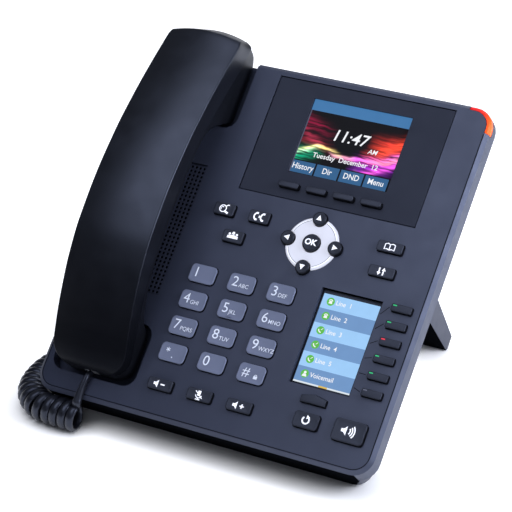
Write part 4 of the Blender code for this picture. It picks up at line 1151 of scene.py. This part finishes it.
def make_grille():
    """The perforated panel over the loudspeaker, square rows of round holes, and the black cloth under it."""
    left = GRILLE_RIGHT - GRILLE_COLUMNS * GRILLE_PITCH
    piece = Piece(HOUSING)
    bm = piece.bm
    half = GRILLE_PITCH / 2
    for i in range(GRILLE_COLUMNS):
        for j in range(GRILLE_ROWS):
            a, b = left + GRILLE_PITCH * (i + 0.5), GRILLE_LOW + GRILLE_PITCH * (j + 0.5)
            corners = [bm.verts.new((a + da * half, b + db * half, 0.0))
                       for da, db in ((1, 1), (-1, 1), (-1, -1), (1, -1))]
            top, under = [[bm.verts.new((*point, c)) for point in circle(a, b, HOLE_RADIUS, HOLE_SIDES, 0.5)]
                          for c in (0.0, -GRILLE_THICK)]
            for k in range(HOLE_SIDES):
                m = (k + 1) % HOLE_SIDES
                bm.faces.new((top[m], top[k], under[k], under[m]))
            for q in range(4):
                first, second = 2 * q, 2 * q + 1
                bm.faces.new((corners[q], top[second], top[first]))
                bm.faces.new((corners[q], corners[(q + 1) % 4], top[(second + 1) % HOLE_SIDES], top[second]))
    bmesh.ops.remove_doubles(bm, verts=bm.verts[:], dist=0.001)
    piece.finish("speaker_grille", "base", 30.0, recalc=False, material_slot="housing")
    cloth = Piece(moulded("acoustic_cloth", rgb(4, 4, 6), 0.9, grain=3000.0, strength=0.5, specular=0.05))
    cloth.box(left + 0.1, GRILLE_RIGHT - 0.1, GRILLE_LOW + 0.1, GRILLE_LOW + GRILLE_ROWS * GRILLE_PITCH - 0.1,
              -0.75, -0.55)
    cloth.finish("speaker_cloth", "base", 30.0, material_slot="housing")


RIM_RADIUS = 11.0
RIM_INSET = 2.5
RIM_SEAM = 0.45
SCREWS = ((-72.0, -48.0), (79.0, -48.0), (-72.0, 113.0), (79.0, 98.0))
LABEL = (-42.0, 18.0, -8.0, 22.0)
# Each jack's middle across the back and its number of contacts.
JACK_PINS = ((-60.0, 4), (-41.0, 8), (-21.0, 8))
PIN_PITCH = 1.05
# Radius of the painted highlight on the silver disc's rim.
RING_HIGHLIGHT_R = 13.6
RING_KEY_HALF = 20
FACING = 0.93


def make_screws(back):
    """Cross-headed screws, each in a countersink painted dark as shade, with the cross painted dark too."""
    piece = Piece(METAL, PAINTED_SHADE)
    for a, b in SCREWS:
        for slot, *rings in ((1, (4.2, 0.05), (4.2, -0.12)), (0, (3.0, 0.0), (3.0, -0.3), (2.4, -0.6))):
            piece.rings([[(*point, back + c) for point in circle(a, b, radius)] for radius, c in rings],
                        [slot] * len(rings))
        piece.box(a - 1.8, a + 1.8, b - 0.35, b + 0.35, back - 0.66, back - 0.5, 1)
        piece.box(a - 0.35, a + 0.35, b - 1.8, b + 1.8, back - 0.67, back - 0.5, 1)
    piece.finish("back_screws", "base", material_slot="housing_back")


def make_label(back):
    """A rating label whose lines of print are blank bars."""
    label = Piece(moulded("label_paper", rgb(206, 208, 210), 0.7, grain=700.0), PRINT_AND_SHADE_LINE)
    label.box(*LABEL, back - 0.1, back + 0.02)
    left, right, _, high = LABEL
    for row in range(5):
        b = high - 5.0 - 4.6 * row
        label.box(left + 4.0, right - 6.0 - 7.0 * (row % 3), b - 0.5, b + 0.5, back - 0.13, back - 0.05, 1)
    label.finish("rating_label", "base", 0, material_slot="housing_back")


def make_jack_contacts():
    gold = Piece(moulded("contact_gold", rgb(214, 170, 80), 0.3))
    _, _, b0, b1, face, _ = face_box("jack_block")
    middle = (b0 + b1) / 2
    for centre, pins in JACK_PINS:
        for pin in range(pins):
            a = centre + (pin - (pins - 1) / 2) * PIN_PITCH
            gold.box(a - 0.2, a + 0.2, middle + 1.6, middle + 2.2, face + 1.5, face + 9.0)
    gold.finish("jack_contacts", "base", 0, material_slot="jack_block")


def make_back_details():
    flats = [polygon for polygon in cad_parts["lower_housing"].data.polygons
             if (FACE_INVERSE.to_3x3() @ polygon.normal).normalized().z < -0.99]
    back = (FACE_INVERSE @ max(flats, key=lambda polygon: polygon.area).center / MM).z
    make_screws(back)
    make_label(back)
    make_jack_contacts()


def make_ring_highlight():
    """A painted highlight round the silver disc's rim, between the arrow keys: a glowing white line with a thin grey
    metal line inside it.
    """
    a0, a1, b0, b1, _, c1 = face_box("nav_ring")
    ca, cb = (a0 + a1) / 2, (b0 + b1) / 2
    piece = Piece(WHITE_PRINT_AND_HIGHLIGHT, METAL)
    for quarter in range(4):
        turns = (90 * quarter + RING_KEY_HALF, 90 * (quarter + 1) - RING_KEY_HALF)
        piece.arc(ca, cb, RING_HIGHLIGHT_R, *turns, 0.5, c1 + PRINT_LIFT, 0)
        piece.arc(ca, cb, RING_HIGHLIGHT_R - 0.5, *turns, 0.28, c1 + PRINT_LIFT, 1)
    piece.finish("nav_ring_painted_highlight", "base", 0, recalc=False, material_slot="nav_ring")


def make_rim_seam():
    """A line of painted shadow where the face meets its rim, from the far cup round the front to the message lamp."""
    steps = 8
    a0, a1, b0, b1, _, _ = face_box("upper_housing")
    loop = rounded_rect(a0 + RIM_INSET, a1 - RIM_INSET, b0 + RIM_INSET, b1 - RIM_INSET, RIM_RADIUS - RIM_INSET, steps)
    line = loop[3 * (steps + 1):] + loop[:steps + 1]
    far_left = (line[0][0], face_box("handset_receiver")[2])
    far_right = (line[-1][0], face_box("message_lamp")[2] - 1.0)
    piece = Piece(PRINT_AND_SHADE_LINE).stroke([far_left, *line, far_right], RIM_SEAM, PRINT_LIFT)
    piece.finish("rim_seam", "base", 0, recalc=False, material_slot="housing")


def darken_front(node):
    """The walls that face down and forwards are painted matt black as shade."""
    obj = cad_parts[node]
    obj.data.materials.append(PAINTED_SHADE)
    turn = FACE_INVERSE.to_3x3()
    for polygon in obj.data.polygons:
        if (turn @ polygon.normal).normalized().y < -FACING:
            polygon.material_index = 1


def make_housings():
    clear = moulded("plug_plastic", rgb(120, 122, 128), 0.2)
    finishes = {
        "upper_housing": (HOUSING, 0.35), "lower_housing": (HOUSING_BACK, 0.35), "display_bezel": (BEZEL, 0.12),
        "nav_ring": (silver_paint_with_painted_light(), 0.25), "message_lamp": (lamp_lens(), 0.2), "desk_stand": (STAND, 0.5),
        "main_display": (BLACK, 0.0), "hook_switch": (BLACK, 0.2), "jack_block": (BLACK, 0.2),
        "loudspeaker": (METAL, 0.2), "handset_receiver": (METAL, 0.2), "handset_microphone": (METAL, 0.1),
        "circuit_board": (moulded("solder_mask", rgb(20, 90, 50), 0.4, grain=300.0), 0.0),
        "key_mat": (moulded("silicone", rgb(120, 120, 126), 0.7), 0.2),
        "cord_handset_plug": (clear, 0.2), "cord_base_plug": (clear, 0.2),
    }
    for node, (finish, bevel) in finishes.items():
        dress(node, finish, bevel)
    for node in ("upper_housing", "lower_housing", "desk_stand"):
        darken_front(node)


make_camera()
make_cord()
make_lights()
make_floor()
make_housings()
make_handset()
make_dial_keys()
make_function_keys()
make_line_lamps()
make_leader_lines()
make_main_screen()
make_side_screen()
make_grille()
make_rim_seam()
make_ring_highlight()
make_back_details()
